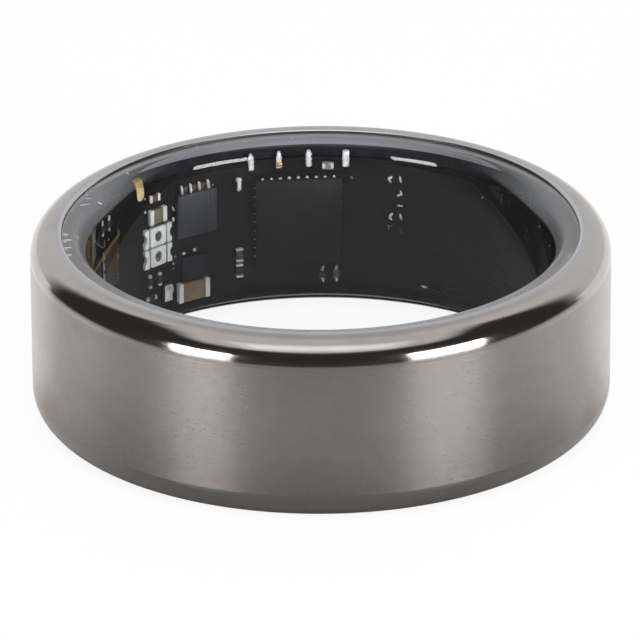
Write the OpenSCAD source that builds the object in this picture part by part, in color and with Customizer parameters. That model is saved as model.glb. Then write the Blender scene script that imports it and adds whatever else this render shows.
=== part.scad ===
// Smart ring: a rounded metal shell with a channel inside, a clear wall that makes the
// finger bore, and between them the curved board, the battery and the charging coil.
// The bore runs along Z. The middle of the board's side of the ring is +Y, and angles
// are counted from there towards +X.

/* [Ring size] */
// Diameter of the finger bore
bore_d = 19.8; // [17.4:0.1:22.4]
// Width of the ring along the finger
ring_w = 8; // [6.8:0.1:9.4]
// Thickness of the whole wall, from the bore to the outside
wall_t = 2.35; // [2.3:0.05:2.8]

/* [Outer shell] */
// Thickness of the shell behind the channel
shell_wall = 0.5; // [0.35:0.05:0.55]
// Radius of the polished shoulders
shoulder_r = 1.1; // [0.7:0.05:1.2]
// Width of the flat land on each rim, which the ring rests on
land_w = 0.1; // [0.05:0.01:0.2]
// Thickness of each lip
lip_t = 0.75; // [0.65:0.05:0.8]
// Radius of the edge where each rim turns into the bore
lip_round = 0.15; // [0.08:0.01:0.2]
// Radius in the corners of the channel
channel_fillet = 0.25; // [0.1:0.05:0.35]

/* [Clear inner wall] */
// Thickness of clear material between the finger and the parts
skin_t = 0.15; // [0.1:0.01:0.2]
// Slope of the clear rim from the lip down to the bore, in degrees
rim_slope = 20; // [16:1:24]
// Radius of the curve on which the bore opens towards each rim
bore_edge_r = 1.2; // [1:0.05:1.4]
// How far the bore opens up to the clear rim's inner edge
bore_edge_open = 0.25; // [0.2:0.01:0.3]
// Height that the clear rim reaches into the channel
rim_root = 0.1; // [0.05:0.01:0.15]

/* [Fits] */
// Clearance between pieces that are laid on or into each other
fit_gap = 0.02; // [0.01:0.005:0.03]
// Clearance at the ends of the battery, the board and the coil
end_gap = 0.6; // [0.3:0.05:0.9]

/* [Liner and potting] */
// Thickness of the insulating film on the channel's floor
liner_t = 0.05; // [0.03:0.01:0.08]

/* [Flexible board] */
// Depth of the board's face below the bore
board_depth = 0.85; // [0.8:0.01:0.95]
// Thickness of the board
board_t = 0.12; // [0.08:0.01:0.15]
// Length of the board along its curve
board_len = 29.4; // [29:0.1:31]
// Distance from the board's long edges to the clear rims
board_edge_gap = 0.22; // [0.18:0.01:0.3]
// How far the board's middle lies below the ring's middle
board_drop = 0.09; // [0:0.01:0.12]
// Angle of the board's middle, in degrees
board_mid = 7.5; // [4:0.5:10]
// Radius of the board's corners
board_corner_r = 0.5; // [0.2:0.05:0.8]
// Radius of the locating notches in the board's lower edge
notch_r = 0.3; // [0.15:0.05:0.4]
// Length of the tail that reaches the battery
tail_len = 1.7; // [1.2:0.1:1.9]
// Height of that tail
tail_h = 2.6; // [2.2:0.1:3.2]
// Margin of the flat land round the main chip
island_margin = 0.25; // [0.15:0.05:0.3]

/* [Main chip] */
// Width and thickness of the main chip
main_chip_plan = [3.85, 0.42];
// Height of the main chip as a share of the board's
main_chip_h_share = 0.666; // [0.5:0.002:0.68]
// Distance between the main chip's pads
pad_pitch = 0.4; // [0.35:0.01:0.42]
// Number of pads along each side
pad_count = 9; // [5:1:9]
// Width, thickness and reach of each pad's solder
pad_size = [0.2, 0.1, 0.12];

/* [Power chip] */
// Width and thickness of the power chip
power_chip_plan = [2, 0.48];
// Height of the power chip as a share of the board's
power_chip_h_share = 0.338; // [0.3:0.002:0.34]
// Number of leads on its upper edge
power_lead_count = 4; // [3:1:4]
// Distance between those leads
power_lead_pitch = 0.46; // [0.4:0.01:0.5]
// Width, thickness and reach of each lead
power_lead_size = [0.16, 0.3, 0.3];

/* [Motion sensor] */
// Width and thickness of the motion sensor
motion_plan = [1.35, 0.4];
// Height of the motion sensor as a share of the board's
motion_h_share = 0.184; // [0.15:0.002:0.19]

/* [Sensor lamps] */
// Width and thickness of each lamp
led_plan = [1.64, 0.4];
// Height of each lamp as a share of the board's
led_h_share = 0.147; // [0.12:0.001:0.15]
// Space between the two lamps
led_space = 0.08; // [0.05:0.01:0.15]
// Width of the metal on each end of a lamp
led_end_w = 0.2; // [0.12:0.01:0.25]
// Radius of the half-round notch in each end
led_notch_r = 0.12; // [0.08:0.01:0.16]
// Radius of the round well over the crystal
led_well_r = 0.22; // [0.16:0.01:0.28]
// Depth of that well
led_well_depth = 0.16; // [0.1:0.01:0.2]
// Width, thickness and height of the light-giving crystal
led_die_size = [0.2, 0.1, 0.2];

/* [Light sensor] */
// Width and thickness of the light sensor
sensor_plan = [1.3, 0.36];
// Height of the light sensor as a share of the board's
sensor_h_share = 0.316; // [0.28:0.002:0.33]
// Depth of the sunk window in its face
sensor_window_depth = 0.05; // [0.03:0.01:0.1]
// Width of the frame round that window
sensor_frame_w = 0.14; // [0.08:0.01:0.2]
// Number of solder joints along each side
sensor_joint_count = 4; // [3:1:5]
// Radius of each solder joint
sensor_joint_r = 0.1; // [0.06:0.01:0.12]
// Length of each solder joint along the sensor's side
sensor_joint_h = 0.3; // [0.22:0.01:0.32]

/* [Capacitors] */
// Length and thickness of the storage capacitor
bulk_plan = [1.62, 0.5];
// Height of the storage capacitor as a share of the board's
bulk_h_share = 0.143; // [0.12:0.001:0.145]
// Length and thickness of the filter capacitor
filter_plan = [1.02, 0.42];
// Height of the filter capacitor as a share of the board's
filter_h_share = 0.113; // [0.09:0.001:0.12]
// Length of the metal on each end of those two
cap_end_w = 0.2; // [0.12:0.01:0.26]
// Thickness of each of the smallest parts
small_t = 0.26; // [0.2:0.01:0.3]
// Length of each of them as a share of the board's height
small_len_share = 0.106; // [0.09:0.001:0.11]
// Height of each of them as a share of the board's
small_h_share = 0.051; // [0.04:0.001:0.054]
// Share of their length that the metal on each end takes
small_end_share = 0.24; // [0.15:0.01:0.3]
// How far the metal on the ends stands out all round
end_proud = 0.015; // [0.01:0.005:0.018]

/* [Timing crystal] */
// Width and thickness of the timing crystal
crystal_plan = [0.52, 0.36];
// Height of the timing crystal as a share of the board's
crystal_h_share = 0.143; // [0.12:0.001:0.15]
// Width of the ceramic border round its metal lid
crystal_border = 0.07; // [0.04:0.01:0.1]
// Thickness of that lid
crystal_lid_t = 0.08; // [0.05:0.01:0.12]

/* [Skin temperature sensor] */
// Width and thickness of the temperature sensor
temperature_plan = [0.52, 0.3];
// Height of the temperature sensor as a share of the board's
temperature_h_share = 0.055; // [0.04:0.001:0.06]

/* [Contacts] */
// Width, thickness and reach down the board of each edge contact
edge_contact_size = [0.3, 0.26, 0.36];
// Width of each edge contact's upper tail
edge_tail_w = 0.14; // [0.08:0.01:0.2]
// Length of that tail
edge_tail_len = 0.2; // [0.1:0.01:0.24]
// Width of the gold contact
gold_w = 0.46; // [0.3:0.02:0.6]
// Thickness of the gold contact
gold_t = 0.07; // [0.05:0.01:0.1]
// Number of contacts under the rim beside the coil
rim_contact_count = 4; // [3:1:5]
// Angle between those contacts, in degrees
rim_contact_step = 4; // [3:0.1:4.5]
// Angle of the first of those contacts, in degrees
rim_contact_from = -88; // [-92:1:-84]
// Width, thickness and height of each of those contacts
rim_contact_size = [0.22, 0.3, 0.24];

/* [Solder marks] */
// Radius of a round solder mark
dot_r = 0.09; // [0.05:0.01:0.11]
// Length and width of a long solder mark
bar_size = [0.3, 0.11];
// Thickness of the solder marks
dot_t = 0.05; // [0.03:0.01:0.08]

/* [Battery] */
// Depth of the battery's inner face below the bore
battery_depth = 0.5; // [0.4:0.05:0.7]
// Height of the battery as a share of the board's
battery_h_share = 0.94; // [0.8:0.01:1]
// Radius of the battery's long edges
battery_edge_r = 0.3; // [0.1:0.05:0.45]
// Length of the sealed flap at the battery's end
flap_len = 0.9; // [0.6:0.05:1.2]
// Thickness of that flap
flap_t = 0.3; // [0.2:0.02:0.4]
// Width, thickness and length of each battery tab
tab_size = [0.7, 0.08, 1.5];
// Distance between the two tabs
tab_space = 1.3; // [1:0.1:1.8]
// Thickness of the tape over the tabs
tape_t = 0.04; // [0.03:0.01:0.06]
// Height of that tape
tape_h = 3.4; // [2.8:0.1:4.4]

/* [Charging coil] */
// Length of the coil along its curve
coil_len = 7.6; // [6.4:0.1:8]
// Height of the coil as a share of the board's
coil_h_share = 0.887; // [0.78:0.001:0.89]
// Number of turns
coil_turns = 8; // [4:1:9]
// Share of the coil's half height that its turns take up
coil_fill_share = 0.8; // [0.5:0.01:0.84]
// Share of each turn's pitch that is copper
track_share = 0.615; // [0.45:0.005:0.7]
// Thickness of the copper track
track_t = 0.07; // [0.04:0.01:0.1]
// Thickness of the film that carries the coil
coil_film_t = 0.05; // [0.03:0.01:0.08]
// Margin of the film and the magnetic sheet round the coil
coil_margin = 0.2; // [0.1:0.02:0.25]
// Thickness of the magnetic sheet behind the coil
ferrite_t = 0.2; // [0.1:0.02:0.24]
// Radius of the two lead wires
lead_r = 0.045; // [0.03:0.005:0.06]

/* [Antenna] */
// Width of the antenna's strip
antenna_w = 0.3; // [0.2:0.02:0.4]
// Thickness of that strip
antenna_t = 0.03; // [0.02:0.005:0.04]
// Number of times the strip runs to and fro
antenna_runs = 5; // [3:2:7]
// Length of each of those runs
antenna_len = 5.2; // [4:0.1:6]
// Distance between them as a share of the board's height
antenna_pitch_share = 0.137; // [0.1:0.001:0.15]

/* [Hidden] */
$fn = 96;

// Rings and radii, from the bore outwards
bore_r = bore_d / 2;
outer_r = bore_r + wall_t;
half_w = ring_w / 2;
channel_r = outer_r - shell_wall;
lip_reach = shoulder_r + land_w + lip_round - shell_wall;
lip_r = channel_r - lip_reach;
channel_half = half_w - lip_t;
rim_z = half_w - lip_round;
groove_r = bore_r + skin_t;
groove_half = channel_half - rim_root;
resin_r = lip_r - fit_gap;

// The bore opens on a curve up to a crisp edge, where the straight slope of the clear rim begins
edge_z = rim_z - (resin_r - bore_r - bore_edge_open) * tan(rim_slope);
edge_turn = acos(1 - bore_edge_open / bore_edge_r);
edge_center_z = edge_z - bore_edge_r * sin(edge_turn);
edge_corner_z = edge_z - bore_edge_open * tan(rim_slope);

liner_out_r = channel_r - fit_gap;
liner_in_r = liner_out_r - liner_t;
stack_out_r = liner_in_r - fit_gap;

board_r = bore_r + board_depth;
board_back_r = board_r + board_t;
board_h = 2 * (groove_half - board_edge_gap);
board_top_z = board_h / 2 - board_drop;
potting_r = board_back_r + antenna_t + 2 * fit_gap;
potting_half = groove_half - fit_gap;

overrun = ring_w;
circle_turn = 360;

// Sizes of the parts: width, thickness and height
function sized(plan, share) = [plan[0], plan[1], share * board_h];
main_chip_size = sized(main_chip_plan, main_chip_h_share);
power_chip_size = sized(power_chip_plan, power_chip_h_share);
motion_size = sized(motion_plan, motion_h_share);
led_size = sized(led_plan, led_h_share);
sensor_size = sized(sensor_plan, sensor_h_share);
bulk_size = sized(bulk_plan, bulk_h_share);
filter_size = sized(filter_plan, filter_h_share);
crystal_size = sized(crystal_plan, crystal_h_share);
temperature_size = sized(temperature_plan, temperature_h_share);
small_size = [small_len_share * board_h, small_t, small_h_share * board_h];
small_end_w = small_end_share * small_size[0];
battery_h = battery_h_share * board_h;
coil_h = coil_h_share * board_h;
antenna_pitch = antenna_pitch_share * board_h;

// Where things sit on the board: shares of its half length and of its half height
main_chip_shares = [-0.164, 0.045];
power_chip_shares = [-0.503, 0.392];
motion_shares = [-0.508, -0.47];
led_shares = [-0.656, 0.053];
sensor_shares = [-0.9, 0.12];
bulk_shares = [-0.517, -0.828];
filter_shares = [-0.653, 0.532];
crystal_shares = [-0.613, -0.762];
temperature_shares = [-0.072, 0.9];
gold_shares = [-0.72, 0.93];
edge_contact_shares = [-0.311, -0.223, -0.131, -0.017];
notch_shares = [-0.36, 0.2, 0.6];
antenna_shares = [0.62, 0.03];

// Small parts: shares along and up, and the turn in degrees
capacitor_shares = [
    [-0.661, 0.816, 0], [-0.352, -0.44, 90], [-0.352, -0.69, 90],
    [-0.048, -0.835, 90], [-0.09, -0.845, 90]
];
resistor_shares = [
    [-0.685, -0.49, 90], [-0.643, -0.505, 90], [-0.68, -0.761, 0],
    [-0.352, 0.69, 90], [-0.951, 0.807, 90], [-0.902, 0.807, 90]
];

// Solder marks: shares along and up of the round ones, and of the long ones with their turn
dot_shares = [
    [-0.704, 0.845], [-0.697, 0.63], [-0.58, 0.52], [-0.58, 0.36], [-0.578, -0.25],
    [-0.58, -0.35], [-0.58, -0.43], [-0.54, -0.235], [-0.50, -0.235], [-0.448, -0.675],
    [-0.435, 0.78], [0, 0.7], [0.449, 0.761], [0.762, 0.816], [0.867, 0.717], [-0.901, 0.549]
];
bar_shares = [
    [0.118, 0.75, 60], [0.156, 0.72, 75], [0.156, 0.5, 70], [0.152, 0.325, 0],
    [0.118, 0.125, 60], [0.156, 0.13, 90], [0.119, -0.035, 0], [0.158, -0.06, 80],
    [0.24, -0.91, 0], [-0.587, -0.75, 90]
];

// Battery and coil: they follow the board's two ends round the hidden side of the ring
function degrees_of(arc, r) = arc / r * circle_turn / (2 * PI);
board_half_turn = degrees_of(board_len / 2, board_r);
tail_end = board_mid + board_half_turn + degrees_of(tail_len, board_r);
battery_in_r = bore_r + battery_depth;
battery_t = stack_out_r - battery_in_r;
flap_end = tail_end + degrees_of(end_gap, board_r);
battery_from = flap_end + degrees_of(flap_len, board_r);
film_out_r = potting_r - fit_gap - ferrite_t - fit_gap;
film_in_r = film_out_r - coil_film_t;
track_out_r = film_in_r - fit_gap;
track_in_r = track_out_r - track_t;
coil_mid = board_mid - board_half_turn - degrees_of(end_gap + coil_margin + coil_len / 2, track_in_r);
coil_reach = degrees_of(coil_len / 2 + coil_margin, track_in_r);
potting_from = coil_mid - coil_reach - degrees_of(end_gap, potting_r);
potting_to = board_mid + board_half_turn + degrees_of(tail_len + end_gap / 2, potting_r);
battery_to = circle_turn + potting_from - degrees_of(end_gap, stack_out_r);
coil_pitch = coil_fill_share * coil_h / 2 / coil_turns;
track_w = track_share * coil_pitch;
coil_half_len = (coil_len - track_w) / 2;
coil_half_h = (coil_h - track_w) / 2;
coil_inset = (coil_turns - 1) * coil_pitch;
upright_thin_share = 0.1;

function board_angle(share) = board_mid + share * board_half_turn;
function board_z(share) = share * board_h / 2 - board_drop;
function seat_of(w) = sqrt(board_r * board_r - w * w / 4) - fit_gap;

// A ring or a part of one, between two radii, two heights and two angles
module sector(r_in, r_out, z_low, z_high, from, to) {
    rotate([0, 0, circle_turn / 4 - to])
        rotate_extrude(angle = to - from)
            translate([r_in, z_low]) square([r_out - r_in, z_high - z_low]);
}

// Puts a piece at an angle, on a flat at a distance from the axis, with its thickness inwards
module place(angle, distance, z) {
    rotate([0, 0, -angle]) translate([0, distance, z]) children();
}

module on_board(shares, w) {
    place(board_angle(shares[0]), seat_of(w), board_z(shares[1])) children();
}

// A block that stands inwards from its seat
module block(size) {
    translate([-size[0] / 2, -size[1], -size[2] / 2]) cube(size);
}

// The waste outside a rounded corner, with the corner at the origin and the solid at -X, -Y
module corner_waste(r) {
    difference() {
        translate([-r, -r]) square([2 * r, 2 * r]);
        translate([-r, -r]) circle(r);
        translate([-2 * r, -2 * r]) square([r, 3 * r]);
        translate([-2 * r, -2 * r]) square([3 * r, r]);
    }
}

module shell_half_profile() {
    difference() {
        translate([lip_r, 0]) square([outer_r - lip_r, half_w]);
        translate([bore_r, -fit_gap])
            square([channel_r - bore_r - channel_fillet, channel_half + fit_gap]);
        translate([bore_r, -fit_gap])
            square([channel_r - bore_r, channel_half + fit_gap - channel_fillet]);
        translate([channel_r - channel_fillet, channel_half - channel_fillet]) circle(channel_fillet);
        translate([outer_r, half_w]) corner_waste(shoulder_r);
        translate([lip_r, half_w]) mirror([1, 0]) corner_waste(lip_round);
    }
}

module outer_shell() {
    color([0.47, 0.44, 0.42]) rotate_extrude() {
        shell_half_profile();
        mirror([0, 1]) shell_half_profile();
    }
}

module resin_half_profile() {
    difference() {
        polygon([[bore_r, 0], [bore_r, edge_corner_z], [resin_r, rim_z], [resin_r, 0]]);
        difference() {
            translate([bore_r - bore_edge_open, edge_center_z])
                square([3 * bore_edge_open, bore_edge_r]);
            translate([bore_r + bore_edge_r, edge_center_z]) circle(bore_edge_r);
        }
    }
}

// The clear wall: its pocket is shallow behind the battery and deep over the parts
module inner_resin() {
    color([0.75, 0.77, 0.79, 0.4]) difference() {
        rotate_extrude() difference() {
            union() {
                resin_half_profile();
                mirror([0, 1]) resin_half_profile();
            }
            translate([battery_in_r - fit_gap, -groove_half]) square([wall_t, 2 * groove_half]);
        }
        sector(groove_r, battery_in_r, -groove_half, groove_half, potting_from, battery_from);
    }
}

module shell_liner() {
    liner_half = channel_half - channel_fillet;
    color([0.55, 0.36, 0.12]) rotate_extrude()
        translate([liner_in_r, -liner_half]) square([liner_t, 2 * liner_half]);
}

module back_potting() {
    color([0.07, 0.07, 0.07])
        rotate([0, 0, circle_turn / 4 - potting_to])
            rotate_extrude(angle = potting_to - potting_from) {
                body_t = stack_out_r - potting_r;
                translate([potting_r, -potting_half]) difference() {
                    square([body_t, 2 * potting_half]);
                    translate([body_t, 2 * potting_half]) corner_waste(channel_fillet);
                    translate([body_t, 0]) mirror([0, 1]) corner_waste(channel_fillet);
                }
            }
}

// A cutter that rounds a corner of the board: side is 1 or -1 along, up is 1 or -1 in height
module board_corner(angle, z, side, up) {
    rotate([0, 0, -angle]) translate([0, board_r, z]) rotate([90, 0, 0])
        translate([0, 0, -overrun]) linear_extrude(2 * overrun)
            mirror([side < 0 ? 1 : 0, 0]) mirror([0, up < 0 ? 1 : 0]) corner_waste(board_corner_r);
}

module flex_board() {
    from = board_mid - board_half_turn;
    to = board_mid + board_half_turn;
    low = -board_h / 2 - board_drop;
    island = [
        main_chip_size[0] + 2 * island_margin, board_t + board_depth,
        main_chip_size[2] + 2 * island_margin
    ];
    island_seat = sqrt(board_r * board_r - pow(main_chip_size[0] / 2, 2));
    color([0.09, 0.09, 0.1]) union() {
        difference() {
            sector(board_r, board_back_r, low, board_top_z, from, to);
            for (up = [-1, 1]) {
                board_corner(from, up > 0 ? board_top_z : low, -1, up);
                board_corner(to, up > 0 ? board_top_z : low, 1, up);
            }
            for (share = notch_shares)
                place(board_angle(share), board_back_r + board_t, low)
                    rotate([90, 0, 0]) cylinder(h = board_depth, r = notch_r);
        }
        sector(board_r, board_back_r, -tail_h / 2, tail_h / 2, board_mid, tail_end);
        intersection() {
            place(
                board_angle(main_chip_shares[0]), island_seat + island[1],
                board_z(main_chip_shares[1])
            ) block(island);
            cylinder(h = ring_w, r = board_r + board_t / 2, center = true);
        }
    }
}

module main_chip() {
    color([0.13, 0.13, 0.135]) on_board(main_chip_shares, main_chip_size[0]) block(main_chip_size);
}

module main_chip_pads() {
    reach = pad_size[2];
    color([0.8, 0.8, 0.8]) on_board(main_chip_shares, main_chip_size[0] + 2 * reach)
        for (turn = [0 : 3], i = [0 : pad_count - 1]) {
            side = turn % 2 == 0 ? main_chip_size[2] : main_chip_size[0];
            rotate([0, turn * circle_turn / 4, 0])
                translate([(i - (pad_count - 1) / 2) * pad_pitch, 0, (side + reach) / 2])
                    block([pad_size[0], pad_size[1], reach]);
        }
}

module power_chip() {
    color([0.25, 0.26, 0.28]) on_board(power_chip_shares, power_chip_size[0]) block(power_chip_size);
}

// Each lead is a foot on the board, a riser up the chip's side and a turn over its edge
module power_chip_leads() {
    foot = power_lead_size;
    color([0.85, 0.85, 0.85]) on_board(power_chip_shares, power_chip_size[0])
        for (i = [0 : power_lead_count - 1])
            translate([
                (i - (power_lead_count - 1) / 2) * power_lead_pitch, 0,
                (power_chip_size[2] + foot[2]) / 2
            ]) {
                block([foot[0], foot[1] / 3, foot[2]]);
                translate([0, 0, -foot[2] / 4]) block([foot[0], foot[1], foot[2] / 2]);
            }
}

module motion_sensor() {
    color([0.12, 0.12, 0.16]) on_board(motion_shares, motion_size[0]) block(motion_size);
}

// A lamp's body between its metal ends, with a round well in its face
module led_body() {
    middle = [led_size[0] - 2 * led_end_w, led_size[1], led_size[2]];
    difference() {
        block(middle);
        translate([0, led_well_depth - led_size[1], 0])
            rotate([90, 0, 0]) cylinder(h = led_size[1], r = led_well_r);
    }
}

module led_place(up) {
    on_board(led_shares, led_size[0])
        translate([0, 0, up * (led_size[2] + led_space) / 2]) children();
}

module led_upper() {
    color([0.85, 0.87, 0.86]) led_place(1) led_body();
}

module led_lower() {
    color([0.85, 0.87, 0.86]) led_place(-1) led_body();
}

module led_terminals() {
    color([0.8, 0.8, 0.8]) for (up = [-1, 1]) led_place(up)
        for (side = [-1, 1]) difference() {
            translate([side * (led_size[0] - led_end_w) / 2, 0, 0])
                block([led_end_w, led_size[1], led_size[2]]);
            translate([side * led_size[0] / 2, overrun / 2, 0])
                rotate([90, 0, 0]) cylinder(h = overrun, r = led_notch_r);
        }
}

module led_crystals() {
    color([0.3, 0.12, 0.1]) for (up = [-1, 1]) led_place(up)
        translate([0, led_well_depth - led_size[1], 0]) block(led_die_size);
}

module light_sensor() {
    window = [
        sensor_size[0] - 2 * sensor_frame_w, sensor_size[1], sensor_size[2] - 2 * sensor_frame_w
    ];
    color([0.24, 0.17, 0.12]) on_board(sensor_shares, sensor_size[0]) difference() {
        block(sensor_size);
        translate([0, sensor_window_depth - sensor_size[1], 0]) block(window);
    }
}

// Half-round solder joints up both sides of the light sensor
module light_sensor_joints() {
    color([0.8, 0.8, 0.78]) on_board(sensor_shares, sensor_size[0])
        for (side = [-1, 1], i = [0 : sensor_joint_count - 1])
            translate([
                side * sensor_size[0] / 2, 0,
                (i - (sensor_joint_count - 1) / 2) * sensor_size[2] / sensor_joint_count
            ]) intersection() {
                cylinder(h = sensor_joint_h, r = sensor_joint_r, center = true);
                translate([side * sensor_joint_r, 0, 0])
                    block([2 * sensor_joint_r, sensor_size[1], sensor_joint_h]);
            }
}

// The body of a part with metal on both ends, and those ends
module part_body(size, end_w) {
    block([size[0] - 2 * end_w, size[1], size[2]]);
}

module part_ends(size, end_w) {
    for (side = [-1, 1]) translate([side * (size[0] - end_w) / 2, 0, 0])
        block([end_w, size[1] + end_proud, size[2] + 2 * end_proud]);
}

module bulk_capacitor() {
    color([0.42, 0.37, 0.27]) on_board(bulk_shares, bulk_size[0]) part_body(bulk_size, cap_end_w);
}

module bulk_capacitor_ends() {
    color([0.8, 0.8, 0.77]) on_board(bulk_shares, bulk_size[0]) part_ends(bulk_size, cap_end_w);
}

module filter_capacitor() {
    color([0.4, 0.39, 0.3]) on_board(filter_shares, filter_size[0]) part_body(filter_size, cap_end_w);
}

module filter_capacitor_ends() {
    color([0.85, 0.85, 0.85]) on_board(filter_shares, filter_size[0]) part_ends(filter_size, cap_end_w);
}

module small_place(entry) {
    on_board(entry, small_size[0]) rotate([0, entry[2], 0]) children();
}

module small_capacitors() {
    color([0.38, 0.34, 0.26]) for (entry = capacitor_shares)
        small_place(entry) part_body(small_size, small_end_w);
}

module small_resistors() {
    color([0.16, 0.14, 0.14]) for (entry = resistor_shares)
        small_place(entry) part_body(small_size, small_end_w);
}

module small_part_ends() {
    color([0.88, 0.88, 0.88]) for (entry = concat(capacitor_shares, resistor_shares))
        small_place(entry) part_ends(small_size, small_end_w);
}

module timing_crystal() {
    color([0.2, 0.19, 0.17]) on_board(crystal_shares, crystal_size[0])
        block([crystal_size[0], crystal_size[1] - crystal_lid_t, crystal_size[2]]);
}

module timing_crystal_lid() {
    color([0.75, 0.75, 0.76]) on_board(crystal_shares, crystal_size[0])
        translate([0, crystal_lid_t - crystal_size[1], 0])
            block([
                crystal_size[0] - 2 * crystal_border, crystal_lid_t,
                crystal_size[2] - 2 * crystal_border
            ]);
}

module temperature_sensor() {
    color([0.8, 0.8, 0.78]) on_board(temperature_shares, temperature_size[0]) block(temperature_size);
}

// A solder block on the board's upper edge, with a tail that stands above it
module edge_contacts() {
    size = edge_contact_size;
    top = groove_half - fit_gap;
    tail_low = top - edge_tail_len;
    color([0.82, 0.83, 0.84]) for (share = edge_contact_shares)
        place(board_angle(share), seat_of(size[0]), 0) {
            translate([-size[0] / 2, -size[1], board_top_z - size[2]])
                cube([size[0], size[1], tail_low - board_top_z + size[2]]);
            translate([-edge_tail_w / 2, -size[1], tail_low])
                cube([edge_tail_w, size[1] / 2, edge_tail_len]);
        }
}

// A gold tongue with a round lower end, bent outwards over the board's upper edge
module gold_contact() {
    low = board_z(gold_shares[1]);
    top = groove_half - fit_gap;
    bend_z = board_top_z + fit_gap;
    color([0.85, 0.68, 0.35]) place(board_angle(gold_shares[0]), seat_of(gold_w), 0) {
        translate([0, 0, low]) rotate([90, 0, 0]) cylinder(h = gold_t, r = gold_w / 2);
        translate([-gold_w / 2, -gold_t, low]) cube([gold_w, gold_t, top - low]);
        translate([-gold_w / 2, -gold_t, bend_z])
            cube([gold_w, board_t + fit_gap + gold_t, top - bend_z]);
    }
}

// Blocks under the rim beside the coil, on the film that carries it
module rim_contacts() {
    size = rim_contact_size;
    top = groove_half - fit_gap;
    color([0.85, 0.86, 0.87]) for (i = [0 : rim_contact_count - 1])
        place(rim_contact_from - i * rim_contact_step, potting_r - fit_gap, top - size[2] / 2)
            block(size);
}

module solder_marks() {
    color([0.85, 0.85, 0.85]) {
        for (entry = dot_shares) on_board(entry, 2 * dot_r)
            rotate([90, 0, 0]) cylinder(h = dot_t, r = dot_r);
        for (entry = bar_shares) on_board(entry, bar_size[0])
            rotate([0, entry[2], 0]) block([bar_size[0], dot_t, bar_size[1]]);
    }
}

module battery_cell() {
    half = battery_h / 2;
    color([0.62, 0.63, 0.65]) union() {
        rotate([0, 0, circle_turn / 4 - battery_to])
            rotate_extrude(angle = battery_to - battery_from)
                translate([battery_in_r, -half]) difference() {
                    square([battery_t, battery_h]);
                    translate([battery_t, battery_h]) corner_waste(battery_edge_r);
                    translate([0, battery_h]) mirror([1, 0]) corner_waste(battery_edge_r);
                    translate([battery_t, 0]) mirror([0, 1]) corner_waste(battery_edge_r);
                    mirror([1, 0]) mirror([0, 1]) corner_waste(battery_edge_r);
                }
        sector(
            board_r - flap_t, board_r, battery_edge_r - half, half - battery_edge_r,
            flap_end, battery_from + degrees_of(battery_edge_r / 2, board_r)
        );
    }
}

// Two strips from the battery's flap to the board's tail, on the tail's inner face
module battery_tabs() {
    out_r = board_r - fit_gap;
    color([0.75, 0.74, 0.7]) for (up = [-1, 1]) {
        middle = up * tab_space / 2;
        sector(
            out_r - tab_size[1], out_r, middle - tab_size[0] / 2, middle + tab_size[0] / 2,
            flap_end - degrees_of(tab_size[2], board_r), flap_end
        );
    }
}

module battery_tape() {
    out_r = board_r - flap_t - fit_gap;
    color([0.7, 0.45, 0.12]) sector(
        out_r - tape_t, out_r, -tape_h / 2, tape_h / 2,
        flap_end - degrees_of(tab_size[2] / 2, board_r), flap_end + degrees_of(flap_len / 2, board_r)
    );
}

// One straight piece of the coil's track, in lengths along and up from the coil's middle
module track(thin, along_a, along_b, z_a, z_b) {
    sector(
        track_in_r + thin, track_out_r - thin, z_a, z_b,
        coil_mid + degrees_of(along_a, track_in_r), coil_mid + degrees_of(along_b, track_in_r)
    );
}

// A flat coil whose turns go inwards one pitch at a time, as one unbroken track.
// Its upright runs are a little thinner than the runs along the ring.
module charging_coil() {
    w = track_w / 2;
    thin = track_t * upright_thin_share;
    color([0.72, 0.42, 0.22]) union() for (k = [0 : coil_turns - 1]) {
        x = coil_half_len - k * coil_pitch;
        z = coil_half_h - k * coil_pitch;
        track(0, -x - w, k == 0 ? x + w : x + coil_pitch + w, z - w, z + w);
        track(thin, -x - w, w - x, -z, z);
        track(0, -x - w, x + w, -z - w, w - z);
        track(thin, x - w, x + w, -z, z - coil_pitch);
    }
}

module coil_film() {
    color([0.45, 0.28, 0.1]) sector(
        film_in_r, film_out_r, -coil_h / 2 - coil_margin, coil_h / 2 + coil_margin,
        coil_mid - coil_reach, coil_mid + coil_reach
    );
}

module ferrite_sheet() {
    sheet_out_r = potting_r - fit_gap;
    color([0.22, 0.21, 0.2]) sector(
        sheet_out_r - ferrite_t, sheet_out_r, -coil_h / 2 - coil_margin, coil_h / 2 + coil_margin,
        coil_mid - coil_reach, coil_mid + coil_reach
    );
}

antenna_row = [for (i = [0 : antenna_runs - 1]) (i - (antenna_runs - 1) / 2) * antenna_pitch];

// A flat strip that runs to and fro behind the board
module antenna() {
    r_in = board_back_r + fit_gap;
    middle = board_angle(antenna_shares[0]);
    half_turn = degrees_of(antenna_len / 2, r_in);
    strip_turn = degrees_of(antenna_w, r_in);
    lift = board_z(antenna_shares[1]);
    color([0.75, 0.45, 0.25]) union() {
        for (z = antenna_row) sector(
            r_in, r_in + antenna_t, lift + z - antenna_w / 2, lift + z + antenna_w / 2,
            middle - half_turn, middle + half_turn
        );
        for (i = [0 : antenna_runs - 2]) {
            end = i % 2 == 0 ? middle + half_turn - strip_turn : middle - half_turn;
            sector(
                r_in, r_in + antenna_t, lift + antenna_row[i], lift + antenna_row[i + 1],
                end, end + strip_turn
            );
        }
    }
}

// A point of a lead wire over the board: shares along and up, and of the depth over the sensor
lead_depth = sensor_size[1] + 2 * lead_r + 2 * fit_gap;
bead_share = 1.25;
function lead_over(along, up, depth) =
    point_at(board_angle(along), board_r - depth * lead_depth, board_z(up));

// A point of a lead wire on the coil's track, in lengths along and up from the coil's middle
function lead_on_coil(along, z) =
    point_at(coil_mid + degrees_of(along, track_in_r), track_in_r - lead_r, z);

function point_at(angle, r, z) = [r * sin(angle), r * cos(angle), z];

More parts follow.
